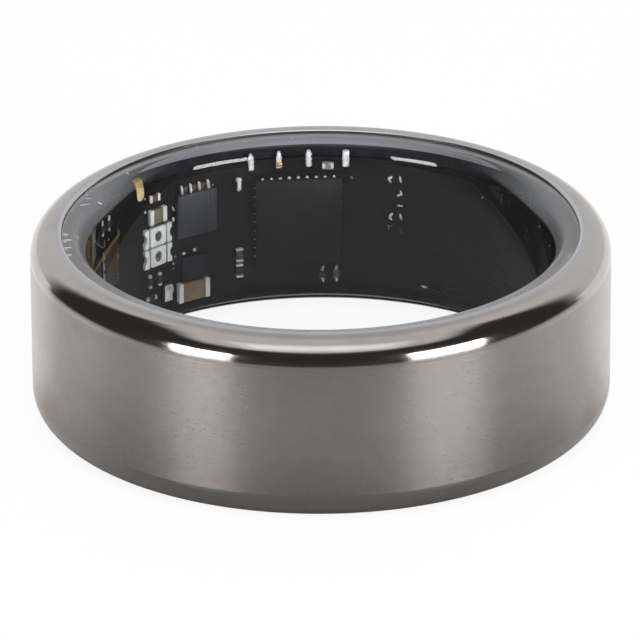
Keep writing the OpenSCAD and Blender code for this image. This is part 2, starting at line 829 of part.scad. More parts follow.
lead_runs = [
    [
        lead_over(-0.842, 0.56, 0.2), lead_over(-0.86, 0.526, 1), lead_over(-0.953, 0.392, 1),
        lead_on_coil(coil_half_len - coil_inset, coil_half_h - coil_inset - coil_pitch)
    ],
    [
        lead_over(-0.93, 0.6, 0.2), lead_over(-0.96, 0.54, 0.7),
        lead_on_coil(coil_half_len, coil_half_h)
    ]
];

// A straight length of wire between two points, with a soldered bead on each end
module wire(a, b) {
    run = b - a;
    translate(a) rotate([0, acos(run[2] / norm(run)), atan2(run[1], run[0])])
        cylinder(h = norm(run), r = lead_r);
    translate(a) sphere(lead_r * bead_share);
    translate(b) sphere(lead_r * bead_share);
}

module coil_leads() {
    color([0.8, 0.62, 0.35]) for (points = lead_runs) union()
        for (i = [0 : len(points) - 2]) wire(points[i], points[i + 1]);
}

outer_shell();
inner_resin();
shell_liner();
back_potting();
flex_board();
main_chip();
main_chip_pads();
power_chip();
power_chip_leads();
motion_sensor();
led_upper();
led_lower();
led_terminals();
led_crystals();
light_sensor();
light_sensor_joints();
bulk_capacitor();
bulk_capacitor_ends();
filter_capacitor();
filter_capacitor_ends();
small_capacitors();
small_resistors();
small_part_ends();
timing_crystal();
timing_crystal_lid();
temperature_sensor();
edge_contacts();
gold_contact();
rim_contacts();
solder_marks();
battery_cell();
battery_tabs();
battery_tape();
charging_coil();
coil_film();
ferrite_sheet();
coil_leads();
antenna();
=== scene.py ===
import math
import random
import bpy
import bmesh
from mathutils import Matrix, Vector


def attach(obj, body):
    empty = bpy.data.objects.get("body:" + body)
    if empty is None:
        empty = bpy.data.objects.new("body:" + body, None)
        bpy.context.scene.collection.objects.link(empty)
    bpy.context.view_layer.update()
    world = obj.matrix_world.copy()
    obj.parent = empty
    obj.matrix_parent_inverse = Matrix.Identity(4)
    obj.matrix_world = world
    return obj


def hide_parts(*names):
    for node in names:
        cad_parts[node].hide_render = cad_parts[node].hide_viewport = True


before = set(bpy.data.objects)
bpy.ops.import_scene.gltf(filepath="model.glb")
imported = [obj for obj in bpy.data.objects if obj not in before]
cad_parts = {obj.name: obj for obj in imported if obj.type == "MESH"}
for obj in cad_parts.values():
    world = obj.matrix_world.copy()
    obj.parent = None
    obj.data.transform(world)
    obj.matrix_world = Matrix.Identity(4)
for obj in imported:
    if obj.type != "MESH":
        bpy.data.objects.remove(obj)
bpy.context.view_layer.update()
mm = 0.001
print("frame loaded")

# Sizes of the ring that every piece follows, in mm and degrees
ring = {
    "boreR": 9.9, "outerR": 12.25, "halfW": 4.0, "shoulderR": 1.1, "lipRound": 0.15,
    "lipR": 10.9, "lipMidZ": 3.6, "channelR": 11.75, "channelHalf": 3.25, "channelFillet": 0.25,
    "wallMidZ": 1.4, "wallTopZ": 2.8, "satinTopZ": 2.93, "lowFaceZ": 3.86,
    "cementZ": 3.81, "cementTopZ": 3.96, "cementR": 10.915,
    "rimFrom": 2.9, "rimRound": 1.2, "rimTurn": 45.0, "leadIn": (0.4, 0.03), "lap": 0.04,
    "lowEdgeR": 10.15, "lowEdgeZ": 3.42, "lowEdgeStep": (0.02, 0.012), "steps": 360,
}
board = {"r": 10.75, "t": 0.12, "midDeg": 7.5, "lenMm": 29.4, "h": 5.86, "drop": 0.09,
         "corner": 0.5, "tailMm": 1.7, "tailHalf": 1.3, "flatMore": 0.5, "flatT": 0.02}
board["halfDeg"] = math.degrees(board["lenMm"] / 2 / board["r"])
fitGap = 0.02


def boardDeg(share):
    return board["midDeg"] + share * board["halfDeg"]


def boardZ(share):
    return share * board["h"] / 2 - board["drop"]


def seatOf(width):  # a flat part's distance from the ring's axis
    return math.sqrt(board["r"] ** 2 - width ** 2 / 4) - fitGap


def onRing(deg, r, z):
    a = math.radians(deg)
    return Vector((r * math.sin(a), r * math.cos(a), z)) * mm


def placeAt(deg, distance, z, turn=0.0):  # local x runs along the ring, y outwards, z up
    return (Matrix.Rotation(-math.radians(deg), 4, "Z")
            @ Matrix.Translation((0, distance * mm, z * mm))
            @ Matrix.Rotation(math.radians(turn), 4, "Y"))


def onBoard(shares, width, turn=0.0):
    return placeAt(boardDeg(shares[0]), seatOf(width), boardZ(shares[1]), turn)


# Helpers for finishes

def addNode(tree, kind, inputs=None, **settings):
    node = tree.nodes.new(kind)
    for key, value in settings.items():
        setattr(node, key, value)
    for key, value in (inputs or {}).items():
        if isinstance(value, bpy.types.NodeSocket):
            tree.links.new(value, node.inputs[key])
        else:
            node.inputs[key].default_value = value
    return node


def newTree(name):
    finish = bpy.data.materials.new(name)
    finish.use_nodes = True
    tree = finish.node_tree
    tree.nodes.clear()
    return finish, tree


def mathNode(tree, operation, a, b=0.0):
    return addNode(tree, "ShaderNodeMath", {0: a, 1: b}, operation=operation).outputs[0]


def times(tree, a, b):
    return mathNode(tree, "MULTIPLY", a, b)


def plus(tree, a, b):
    return mathNode(tree, "ADD", a, b)


def minus(tree, a, b):
    return mathNode(tree, "SUBTRACT", a, b)


def ramp(tree, value, low, high, outLow=0.0, outHigh=1.0):  # a smooth step between two values
    return addNode(tree, "ShaderNodeMapRange", {
        "Value": value, "From Min": low, "From Max": high, "To Min": outLow, "To Max": outHigh,
    }, interpolation_type="SMOOTHSTEP").outputs[0]


def straight(tree, value, low, high, outLow, outHigh):  # the same without the smooth ends
    return addNode(tree, "ShaderNodeMapRange", {
        "Value": value, "From Min": low, "From Max": high, "To Min": outLow, "To Max": outHigh,
    }).outputs[0]


def noise(tree, place, sizeMm, detail=4.0, rough=0.55):
    return addNode(tree, "ShaderNodeTexNoise", {
        "Vector": place, "Scale": 1 / (sizeMm * mm), "Detail": detail, "Roughness": rough,
    }).outputs["Fac"]


def mixColor(tree, fac, a, b):
    node = addNode(tree, "ShaderNodeMix", {"Factor": fac}, data_type="RGBA")
    for key, value in ((6, a), (7, b)):
        if isinstance(value, bpy.types.NodeSocket):
            tree.links.new(value, node.inputs[key])
        else:
            node.inputs[key].default_value = (*value, 1)
    return node.outputs[2]


def mixValue(tree, fac, a, b):
    return addNode(tree, "ShaderNodeMix", {0: fac, 2: a, 3: b}, data_type="FLOAT").outputs[0]


def objectPlace(tree):  # the point itself and its three values
    place = addNode(tree, "ShaderNodeTexCoord").outputs["Object"]
    return place, addNode(tree, "ShaderNodeSeparateXYZ", {0: place}).outputs


def lengthOf(tree, x, y):
    flat = addNode(tree, "ShaderNodeCombineXYZ", {0: x, 1: y}).outputs[0]
    return addNode(tree, "ShaderNodeVectorMath", {0: flat}, operation="LENGTH").outputs["Value"]


def bumpOf(tree, height, strength, distanceMm):
    return addNode(tree, "ShaderNodeBump", {
        "Height": height, "Strength": strength, "Distance": distanceMm * mm}).outputs[0]


def endWith(finish, tree, shader):
    addNode(tree, "ShaderNodeOutputMaterial", {"Surface": shader.outputs[0]})
    return finish


def stretched(tree, place, scale):
    return addNode(tree, "ShaderNodeMapping", {"Vector": place, "Scale": scale}).outputs[0]


def makeFinish(name, look):
    finish, tree = newTree(name)
    place = addNode(tree, "ShaderNodeTexCoord").outputs["Object"]
    broad = noise(tree, place, look.get("sizeMm", 0.8))
    fine = noise(tree, place, look.get("grainMm", 0.06), 6.0, 0.65)
    blend = ramp(tree, broad, 0.35, 0.65)
    color = mixColor(tree, blend, look["color"], look["color2"])
    speck = ramp(tree, fine, 0.3, 0.75)
    color = mixColor(tree, times(tree, speck, look.get("speck", 0.25)), color,
                     tuple(min(1.0, value * 1.6) for value in look["color"]))
    rough = straight(tree, fine, 0.3, 0.7, look["rough"] * 0.8, min(1.0, look["rough"] * 1.25))
    shader = addNode(tree, "ShaderNodeBsdfPrincipled", {
        "Base Color": color, "Roughness": rough, "Metallic": look.get("metal", 0.0),
        "Normal": bumpOf(tree, fine, look.get("bump", 0.25), look.get("bumpMm", 0.01)),
        "Specular IOR Level": look.get("gloss", 0.3),
    })
    return endWith(finish, tree, shader)


# Colours are linear; sizes of spots and grain are in mm
looks = {
    "potting": {"color": (0.012, 0.012, 0.013), "color2": (0.02, 0.02, 0.021), "rough": 0.35,
                "gloss": 0.12, "speck": 0.3, "grainMm": 0.12},
    "primerAndShade": {"color": (0.01, 0.01, 0.01), "color2": (0.016, 0.015, 0.015), "rough": 0.6,
               "gloss": 0.08, "grainMm": 0.1},
    "cement": {"color": (0.035, 0.025, 0.02), "color2": (0.06, 0.045, 0.038), "rough": 0.4,
               "gloss": 0.2},
    "chipBlack": {"color": (0.022, 0.021, 0.022), "color2": (0.027, 0.026, 0.026), "rough": 0.5,
                  "gloss": 0.15, "speck": 0.35, "grainMm": 0.05, "bump": 0.5},
    "chipGrey": {"color": (0.038, 0.039, 0.044), "color2": (0.047, 0.048, 0.054), "rough": 0.4,
                 "gloss": 0.25, "sizeMm": 0.5},
    "chipBlue": {"color": (0.016, 0.016, 0.026), "color2": (0.026, 0.025, 0.038), "rough": 0.45,
                 "gloss": 0.2, "sizeMm": 0.6},
    "solder": {"color": (0.95, 0.95, 0.96), "color2": (0.72, 0.72, 0.72), "rough": 0.3,
               "metal": 0.3, "sizeMm": 0.2, "grainMm": 0.07, "bump": 0.8, "gloss": 0.5},
    "plating": {"color": (0.95, 0.95, 0.92), "color2": (0.82, 0.82, 0.8), "rough": 0.4,
                "metal": 0.2, "sizeMm": 0.3, "bump": 0.5, "gloss": 0.5},
    "flux": {"color": (0.07, 0.045, 0.025), "color2": (0.16, 0.11, 0.05), "rough": 0.35,
             "sizeMm": 0.15},
    "lampBody": {"color": (0.93, 0.96, 0.95), "color2": (0.85, 0.89, 0.88), "rough": 0.3,
                 "sizeMm": 0.4, "speck": 0.1},
    "lampBase": {"color": (0.03, 0.08, 0.055), "color2": (0.05, 0.14, 0.09), "rough": 0.4,
                 "sizeMm": 0.3},
    "lampWell": {"color": (0.28, 0.3, 0.3), "color2": (0.38, 0.4, 0.39), "rough": 0.3},
    "darkCrystal": {"color": (0.03, 0.035, 0.045), "color2": (0.07, 0.075, 0.08), "rough": 0.25,
                    "gloss": 0.5, "sizeMm": 0.1},
    "redCrystal": {"color": (0.16, 0.04, 0.035), "color2": (0.3, 0.13, 0.1), "rough": 0.25,
                   "gloss": 0.5, "sizeMm": 0.1},
    "sensorBrown": {"color": (0.035, 0.022, 0.016), "color2": (0.09, 0.062, 0.045), "rough": 0.35,
                    "sizeMm": 0.35, "grainMm": 0.08, "speck": 0.5},
    "tan": {"color": (0.25, 0.19, 0.115), "color2": (0.29, 0.225, 0.145), "rough": 0.5,
            "sizeMm": 0.5},
    "olive": {"color": (0.15, 0.14, 0.09), "color2": (0.19, 0.175, 0.12), "rough": 0.5,
              "sizeMm": 0.4},
    "greyOlive": {"color": (0.1, 0.095, 0.08), "color2": (0.14, 0.135, 0.115), "rough": 0.5,
                  "sizeMm": 0.2},
    "brownCeramic": {"color": (0.1, 0.065, 0.045), "color2": (0.15, 0.1, 0.07), "rough": 0.5,
                     "sizeMm": 0.2},
    "resistor": {"color": (0.03, 0.027, 0.026), "color2": (0.05, 0.04, 0.034), "rough": 0.45},
    "darkCeramic": {"color": (0.05, 0.045, 0.038), "color2": (0.07, 0.06, 0.05), "rough": 0.5},
    "whiteCeramic": {"color": (0.4, 0.38, 0.36), "color2": (0.14, 0.12, 0.11), "rough": 0.4,
                     "sizeMm": 0.18},
    "gold": {"color": (0.95, 0.76, 0.38), "color2": (0.85, 0.62, 0.25), "rough": 0.3,
             "metal": 0.55, "sizeMm": 0.25},
    "goldWire": {"color": (0.5, 0.4, 0.18), "color2": (0.34, 0.26, 0.1), "rough": 0.3,
                 "metal": 0.5, "sizeMm": 0.3},
    "copper": {"color": (0.2, 0.11, 0.05), "color2": (0.13, 0.075, 0.03), "rough": 0.35,
               "metal": 0.7, "sizeMm": 0.5},
    "coilFilm": {"color": (0.035, 0.025, 0.014), "color2": (0.06, 0.045, 0.02), "rough": 0.35,
                 "gloss": 0.2},
    "amberFilm": {"color": (0.42, 0.2, 0.03), "color2": (0.5, 0.26, 0.05), "rough": 0.3},
    "foil": {"color": (0.52, 0.53, 0.55), "color2": (0.44, 0.45, 0.47), "rough": 0.38,
             "metal": 0.9, "sizeMm": 1.5, "grainMm": 0.2, "bump": 0.8},
    "nickel": {"color": (0.6, 0.58, 0.53), "color2": (0.5, 0.48, 0.44), "rough": 0.3, "metal": 1.0},
    "ferrite": {"color": (0.05, 0.048, 0.046), "color2": (0.07, 0.068, 0.064), "rough": 0.55,
                "metal": 0.3, "grainMm": 0.03},
    "markAndGlint": {"color": (0.75, 0.76, 0.78), "color2": (0.6, 0.61, 0.63), "rough": 0.6,
             "sizeMm": 0.1},
}
finishes = {name: makeFinish(name, look) for name, look in looks.items()}

# Radii and heights are in mm, each pair from where a change starts to where it is full
shellLook = {
    "satin": (0.475, 0.435, 0.41), "smudge": (0.37, 0.315, 0.28), "satinRough": 0.28,
    "stretch": 0.25, "softZ": (2.8, 2.92), "footShadeZ": (-0.5, -3.2), "footShadeShare": 0.35,
    "smudgeShare": 0.5, "mottleShare": 0.16, "lineRough": 0.08, "smudgeRough": 0.04,
    "satinBump": 0.25, "satinBumpMm": 0.003, "smoothShare": 0.96,
    "polished": (0.5, 0.475, 0.455), "cool": (0.47, 0.47, 0.49), "polishedRough": 0.09,
    "coolR": (11.55, 11.1), "hazeShare": 0.3, "wearRough": 0.08, "hazeRough": 0.03,
    "wipeBump": 0.15, "wipeBumpMm": 0.0006,
    "lip": (0.58, 0.57, 0.58), "lipRough": 0.16, "lipR": (11.08, 11.03),
    "lipFace": (0.23, 0.23, 0.245), "faceRough": 0.4, "faceMetal": 0.35,
    "faceR": (10.915, 10.905),
}


def makeSatinFinish(look):  # the wall: a satin that spreads light up and down
    finish, tree = newTree("shellSatin")
    place, parts = objectPlace(tree)
    z = parts[2]
    softFrom, softTo = look["softZ"]
    nearEdge = ramp(tree, mathNode(tree, "ABSOLUTE", z), softFrom * mm, softTo * mm)
    lines = noise(tree, stretched(tree, place, (1, 1, 14)), 0.35, 5.0, 0.6)
    grain = noise(tree, place, 0.05, 3.0, 0.6)
    cloud = noise(tree, stretched(tree, place, (1, 1, 1.7)), 3.0, 4.0, 0.55)
    mottle = noise(tree, place, 0.7, 5.0, 0.65)
    # the smudges grow stronger towards the wall's foot; that growth is painted shade standing for
    # the shaded floor the foot reflects
    paintedFootShade = ramp(tree, z, look["footShadeZ"][0] * mm, look["footShadeZ"][1] * mm, look["footShadeShare"], 1.0)
    smudge = times(tree, ramp(tree, cloud, 0.46, 0.68), paintedFootShade)
    tint = plus(tree, times(tree, smudge, look["smudgeShare"]),
                ramp(tree, mottle, 0.35, 0.7, 0.0, look["mottleShare"]))
    color = mixColor(tree, tint, look["satin"], look["smudge"])
    color = mixColor(tree, nearEdge, color, look["polished"])
    rough = plus(tree, look["satinRough"],
                 times(tree, minus(tree, lines, 0.5), look["lineRough"]))
    rough = plus(tree, rough, times(tree, smudge, look["smudgeRough"]))
    rough = mixValue(tree, nearEdge, rough, look["polishedRough"])
    texture = plus(tree, times(tree, grain, 0.5), lines)
    depth = minus(tree, 1.0, times(tree, nearEdge, look["smoothShare"]))
    along = addNode(tree, "ShaderNodeTangent", direction_type="UV_MAP", uv_map="turned")
    return endWith(finish, tree, addNode(tree, "ShaderNodeBsdfPrincipled", {
        "Base Color": color, "Roughness": rough, "Metallic": 1.0,
        "Normal": bumpOf(tree, times(tree, texture, depth), look["satinBump"],
                         look["satinBumpMm"]),
        "Anisotropic": look["stretch"], "Tangent": along.outputs[0]}))


def makePolishedFinish(look):  # shoulders, lands and lips
    finish, tree = newTree("shellPolished")
    place, parts = objectPlace(tree)
    radius = lengthOf(tree, parts[0], parts[1])
    inward, lip, face = (ramp(tree, radius, look[key][0] * mm, look[key][1] * mm)
                         for key in ("coolR", "lipR", "faceR"))
    wipe = noise(tree, stretched(tree, place, (1, 1, 9)), 0.5, 5.0, 0.6)
    haze = noise(tree, place, 1.6, 3.0, 0.5)
    color = mixColor(tree, inward, look["polished"], look["cool"])
    color = mixColor(tree, ramp(tree, haze, 0.45, 0.75, 0.0, look["hazeShare"]), color,
                     look["smudge"])
    wear = times(tree, inward, ramp(tree, wipe, 0.45, 0.7))
    rough = plus(tree, look["polishedRough"], times(tree, wear, look["wearRough"]))
    rough = plus(tree, rough, ramp(tree, haze, 0.4, 0.7, 0.0, look["hazeRough"]))
    color = mixColor(tree, lip, color, look["lip"])  # the lip's round is a little worn
    rough = mixValue(tree, lip, rough, look["lipRough"])
    color = mixColor(tree, face, color, look["lipFace"])  # its inner face shows through the resin
    rough = mixValue(tree, face, rough, look["faceRough"])
    return endWith(finish, tree, addNode(tree, "ShaderNodeBsdfPrincipled", {
        "Base Color": color, "Roughness": rough,
        "Metallic": minus(tree, 1.0, times(tree, face, 1 - look["faceMetal"])),
        "Normal": bumpOf(tree, wipe, look["wipeBump"], look["wipeBumpMm"])}))


# The rims are hazy from a height on, which comes lower at the sides than at the back; the haze
# fades out towards the back and grows towards the front, and that change round the ring is painted
# reflection
resinLook = {
    "color": (0.93, 0.95, 0.98, 1), "shadow": (0.96, 0.96, 0.96, 1), "ior": 1.5,
    "haze": 0.17, "frontHazeAndReflection": 0.27, "hazeRough": 0.3, "clearRough": 0.05, "uneven": 0.12,
    "backZ": 3.5, "sideZ": 2.9, "fade": 0.2, "sideReflectionDeg": (35.0, 70.0), "frontReflectionDeg": (105.0, 150.0),
}


def makeResinFinish(look):
    finish, tree = newTree("clearResin")
    place, (x, y, z) = objectPlace(tree)
    turn = times(tree, mathNode(tree, "ABSOLUTE", mathNode(tree, "ARCTAN2", x, y)), 180 / math.pi)
    # the haze's share by angle round the ring, none at the back and most at the front, is painted
    # reflection
    side = ramp(tree, turn, *look["sideReflectionDeg"])
    height = mathNode(tree, "DIVIDE", mathNode(tree, "ABSOLUTE", z), mm)
    start = mixValue(tree, side, look["backZ"], look["sideZ"])
    mask = times(tree, ramp(tree, minus(tree, height, start), 0.0, look["fade"]), side)
    wear = noise(tree, stretched(tree, place, (1, 1, 3)), 0.5, 5.0, 0.6)
    spots = straight(tree, wear, 0.3, 0.7, 1 - look["uneven"], 1 + look["uneven"])
    level = ramp(tree, turn, *look["frontReflectionDeg"], look["haze"], look["frontHazeAndReflection"])
    haze = times(tree, mask, times(tree, spots, level))
    polish = ramp(tree, height, look["sideZ"], look["backZ"], 0.0, look["clearRough"])
    rough = mathNode(tree, "MAXIMUM", polish, times(tree, mask, look["hazeRough"]))
    shader = addNode(tree, "ShaderNodeBsdfPrincipled", {
        "Base Color": look["color"], "Roughness": rough, "IOR": look["ior"],
        "Transmission Weight": minus(tree, 1.0, haze)})
    clear = addNode(tree, "ShaderNodeBsdfTransparent", {"Color": look["shadow"]})
    path = addNode(tree, "ShaderNodeLightPath")
    return endWith(finish, tree, addNode(tree, "ShaderNodeMixShader", {
        0: path.outputs["Is Shadow Ray"], 1: shader.outputs[0], 2: clear.outputs[0]}))


boardLook = {
    "mask": (0.0065, 0.0063, 0.0068), "trace": (0.014, 0.0136, 0.014), "pitchMm": 0.55,
    "rough": 0.35, "gloss": 0.15, "bump": 0.4, "bumpMm": 0.01,
}


def makeBoardFinish(look):
    finish, tree = newTree("boardMask")
    place = addNode(tree, "ShaderNodeUVMap", uv_map="along").outputs[0]
    cells = addNode(tree, "ShaderNodeTexBrick", {
        "Vector": place, "Scale": 1 / look["pitchMm"], "Mortar Size": 0.06,
        "Mortar Smooth": 0.1, "Brick Width": 2.3, "Row Height": 0.6,
    }, offset=0.37, squash=1.6, squash_frequency=3)
    spread, grain = (addNode(tree, "ShaderNodeTexNoise", {
        "Vector": place, "Scale": scale, "Detail": detail}).outputs["Fac"]
        for scale, detail in ((0.6, 2.0), (9.0, 5.0)))
    lines = times(tree, cells.outputs["Fac"], ramp(tree, spread, 0.42, 0.6))
    color = mixColor(tree, lines, look["mask"], look["trace"])
    color = mixColor(tree, times(tree, grain, 0.3), color, look["trace"])
    height = plus(tree, lines, times(tree, grain, 0.2))
    return endWith(finish, tree, addNode(tree, "ShaderNodeBsdfPrincipled", {
        "Base Color": color, "Roughness": look["rough"], "Specular IOR Level": look["gloss"],
        "Normal": bumpOf(tree, height, look["bump"], look["bumpMm"])}))


finishes["satin"] = makeSatinFinish(shellLook)
finishes["polished"] = makePolishedFinish(shellLook)
finishes["clear"] = makeResinFinish(resinLook)
finishes["boardMask"] = makeBoardFinish(boardLook)
print("finishes made")


# Helpers for shapes

def arc(cx, cz, r, fromDeg, toDeg, count):
    return [(cx + r * math.cos(math.radians(fromDeg + (toDeg - fromDeg) * i / count)),
             cz + r * math.sin(math.radians(fromDeg + (toDeg - fromDeg) * i / count)))
            for i in range(count + 1)]


def addRevolved(bm, profile, fromDeg=0.0, toDeg=360.0):
    full = toDeg - fromDeg >= 360
    steps = max(4, round(ring["steps"] * (toDeg - fromDeg) / 360))
    count = steps if full else steps + 1
    rows = []
    for i in range(count):
        deg = fromDeg + (toDeg - fromDeg) * i / steps
        rows.append([bm.verts.new(onRing(deg, r, z)) for r, z in profile])
    faces = []
    for i in range(steps):
        a, b = rows[i], rows[(i + 1) % count]
        for j in range(len(profile)):
            k = (j + 1) % len(profile)
            faces.append(bm.faces.new((a[j], a[k], b[k], b[j])))
    if not full:
        caps = [bm.faces.new(rows[0]), bm.faces.new(list(reversed(rows[-1])))]
        faces += bmesh.ops.triangulate(bm, faces=caps, ngon_method="EAR_CLIP")["faces"]
    bmesh.ops.recalc_face_normals(bm, faces=faces)


def joinInto(bm, part, place, finish=0):  # without a finish, the part keeps its own
    part.transform(place)
    if finish is not None:
        for face in part.faces:
            face.material_index = finish
    mesh = bpy.data.meshes.new("part")
    part.to_mesh(mesh)
    part.free()
    bm.from_mesh(mesh)
    bpy.data.meshes.remove(mesh)


def scaled(size):
    return Matrix.Diagonal((*(value * mm for value in size), 1))


def addBlock(bm, place, size, bevel=0.025, finish=0, lift=0.0, segments=2, shift=(0, 0)):
    part = bmesh.new()
    bmesh.ops.create_cube(part, size=1)
    part.transform(scaled(size))
    part.transform(Matrix.Translation(
        (shift[0] * mm, (-size[1] / 2 - lift) * mm, shift[1] * mm)))
    if bevel:
        bmesh.ops.bevel(part, geom=part.edges[:], offset=bevel * mm, segments=segments,
                        affect="EDGES", profile=0.5)
    joinInto(bm, part, place, finish)


def addBead(bm, place, size, finish=0, lift=0.0, rings=6, shift=(0, 0)):  # a solder dome
    part = bmesh.new()
    bmesh.ops.create_uvsphere(part, u_segments=12, v_segments=rings, radius=0.5)
    part.transform(Matrix.Rotation(math.pi / 2, 4, "X"))
    part.transform(scaled(size))
    part.transform(Matrix.Translation((shift[0] * mm, -lift * mm, shift[1] * mm)))
    joinInto(bm, part, place, finish)


def addPlate(bm, place, outline, thick):  # an outline in x and z, made thick
    part = bmesh.new()
    near, far = ([part.verts.new((x * mm, y * mm, z * mm)) for x, z in outline]
                 for y in (-thick, 0))
    caps = [part.faces.new(near), part.faces.new(list(reversed(far)))]
    for i in range(len(outline)):
        k = (i + 1) % len(outline)
        part.faces.new((near[i], far[i], far[k], near[k]))
    bmesh.ops.recalc_face_normals(part, faces=part.faces[:])
    bmesh.ops.triangulate(part, faces=caps, ngon_method="EAR_CLIP")
    joinInto(bm, part, place)


def addLump(bm, place, stations, seed, uneven=0.14, finish=0):
    # Solder that grew through (z, half width, thickness) stations, uneven by a share of them
    sides = 12
    chance = random.Random(seed)
    part = bmesh.new()
    rows = []
    for z, half, thick in stations:
        row = []
        for k in range(sides):
            a = 2 * math.pi * k / sides
            grow = 1 + chance.uniform(-uneven, uneven)
            x = math.cos(a) * half * grow
            y = -thick / 2 * (0.9 + math.sin(a) * grow)
            lift = chance.uniform(-uneven, uneven) * half * 0.5
            row.append(part.verts.new((x * mm, y * mm, (z + lift) * mm)))
        rows.append(row)
    part.faces.new(rows[0])
    part.faces.new(list(reversed(rows[-1])))
    for a, b in zip(rows, rows[1:]):
        for k in range(sides):
            n = (k + 1) % sides
            part.faces.new((a[k], b[k], b[n], a[n]))
    bmesh.ops.recalc_face_normals(part, faces=part.faces[:])
    joinInto(bm, part, place, finish)


def addTube(bm, points, r, sides=10, smooth=6):
    path = []
    for i in range(len(points) - 1):
        p0, p1, p2, p3 = (points[max(0, i - 1)], points[i], points[i + 1],
                          points[min(len(points) - 1, i + 2)])
        for k in range(smooth):
            t = k / smooth
            path.append(0.5 * ((2 * p1) + (p2 - p0) * t + (2 * p0 - 5 * p1 + 4 * p2 - p3) * t * t
                               + (3 * p1 - p0 - 3 * p2 + p3) * t ** 3))
    path.append(points[-1])
    rows = []
    for i, point in enumerate(path):
        along = (path[min(i + 1, len(path) - 1)] - path[max(i - 1, 0)]).normalized()
        side = along.cross(Vector((0, 0, 1)))
        side = side.normalized() if side.length > 0.01 else Vector((1, 0, 0))
        up = side.cross(along)
        rows.append([bm.verts.new(point + (side * math.cos(a) + up * math.sin(a)) * r * mm)
                     for a in (2 * math.pi * k / sides for k in range(sides))])
    faces = [bm.faces.new(rows[0]), bm.faces.new(list(reversed(rows[-1])))]
    for i in range(len(rows) - 1):
        for k in range(sides):
            n = (k + 1) % sides
            faces.append(bm.faces.new((rows[i][k], rows[i + 1][k], rows[i + 1][n], rows[i][n])))
    bmesh.ops.recalc_face_normals(bm, faces=faces)


def makePiece(name, bm, surfaces, replaced, sharpDeg=32.0):
    mesh = bpy.data.meshes.new(name)
    bm.to_mesh(mesh)
    bm.free()
    for surface in surfaces:
        mesh.materials.append(finishes[surface])
    mesh.shade_smooth()
    mesh.set_sharp_from_angle(angle=math.radians(sharpDeg))
    piece = bpy.data.objects.new(name, mesh)
    bpy.context.scene.collection.objects.link(piece)
    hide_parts(*replaced)
    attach(piece, "root")
    return piece


# Shell, clear wall and potting

def shellHalf():
    s = ring
    points = [(s["outerR"], 0.0), (s["outerR"], s["wallMidZ"]), (s["outerR"], s["wallTopZ"])]
    points += arc(s["outerR"] - s["shoulderR"], s["halfW"] - s["shoulderR"], s["shoulderR"],
                  0, 90, 28)
    points += arc(s["lipR"] + s["lipRound"], s["halfW"] - s["lipRound"], s["lipRound"], 90, 180, 8)
    points += [(s["lipR"], s[key]) for key in ("cementZ", "lipMidZ", "channelHalf")]
    points += arc(s["channelR"] - s["channelFillet"], s["channelHalf"] - s["channelFillet"],
                  s["channelFillet"], 90, 0, 6)
    points += [(s["channelR"], 0.0)]
    return points


def makeShell():
    bm = bmesh.new()
    half = shellHalf()
    uv = bm.loops.layers.uv.new("turned")
    addRevolved(bm, half + [(r, -z) for r, z in reversed(half[1:-1])])
    near = 0.01
    for face in bm.faces:
        center = face.calc_center_median() / mm
        r, z = math.hypot(center.x, center.y), abs(center.z)
        # the lower lip's inner face takes the black primer as painted shade; the upper lip's same
        # face is the grey lipFace
        inside = (r < ring["channelR"] + near and z < ring["channelHalf"] + near
                  or r < ring["lipR"] + near and center.z < 0 and z < ring["lowFaceZ"])
        seam = r < ring["cementR"] and ring["cementZ"] < z < ring["cementTopZ"]
        face.material_index = 3 if seam else 2 if inside else 0 if z < ring["satinTopZ"] else 1
        middle = math.atan2(center.x, center.y)
        for loop in face.loops:  # the first value runs up the wall, the second round it
            x, y, up = loop.vert.co / mm
            turn = math.atan2(x, y)
            turn += 2 * math.pi * round((middle - turn) / (2 * math.pi))
            loop[uv].uv = (up, turn * r)
    makePiece("ringShell", bm, ["satin", "polished", "primerAndShade", "cement"], ["outer_shell"])


def resinHalf():  # the bore turns into the rims in a wide round and then a tighter one
    s = ring
    rimZ, rimR = s["halfW"] - s["lipRound"], s["lipR"] - fitGap
    wide, turn = s["rimRound"], math.radians(s["rimTurn"])
    tight = (rimZ - s["rimFrom"] - wide * math.sin(turn)) / (1 - math.sin(turn))
    x = s["boreR"] + wide - (wide - tight) * math.cos(turn)
    z = s["rimFrom"] + (wide - tight) * math.sin(turn)
    points = [(s["boreR"], 0.0)] + [(s["boreR"], s["rimFrom"] - away) for away in s["leadIn"]]
    points += arc(s["boreR"] + wide, s["rimFrom"], wide, 180, 180 - s["rimTurn"], 30)
    points += arc(x, z, tight, 180 - s["rimTurn"], 90, 16)[1:]
    return points + [(rimR, rimZ), (s["lipR"] + s["lap"], rimZ), (s["lipR"] + s["lap"], 0.0)]


def resinLowHalf():  # the lower rim: a sharp edge and a flat slope
    s = ring
    rimZ, rimR, wide = s["halfW"] - s["lipRound"], s["lipR"] - fitGap, s["rimRound"]
    turn = math.acos(1 - (s["lowEdgeR"] - s["boreR"]) / wide)
    centerZ = s["lowEdgeZ"] - wide * math.sin(turn)
    points = [(s["boreR"], centerZ - away) for away in s["leadIn"]]
    points += arc(s["boreR"] + wide, centerZ, wide, 180, 180 - math.degrees(turn), 24)
    stepR, stepZ = s["lowEdgeStep"]
    return points + [(s["lowEdgeR"] + stepR, s["lowEdgeZ"] + stepZ), (rimR, rimZ),
                     (s["lipR"] + s["lap"], rimZ)]


def rimAt(r):  # height and slope of the clear rim at a radius
    points = resinHalf()
    for (r0, z0), (r1, z1) in zip(points, points[1:]):
        if r0 < r <= r1:
            return z0 + (z1 - z0) * (r - r0) / (r1 - r0), math.atan2(z1 - z0, r1 - r0)
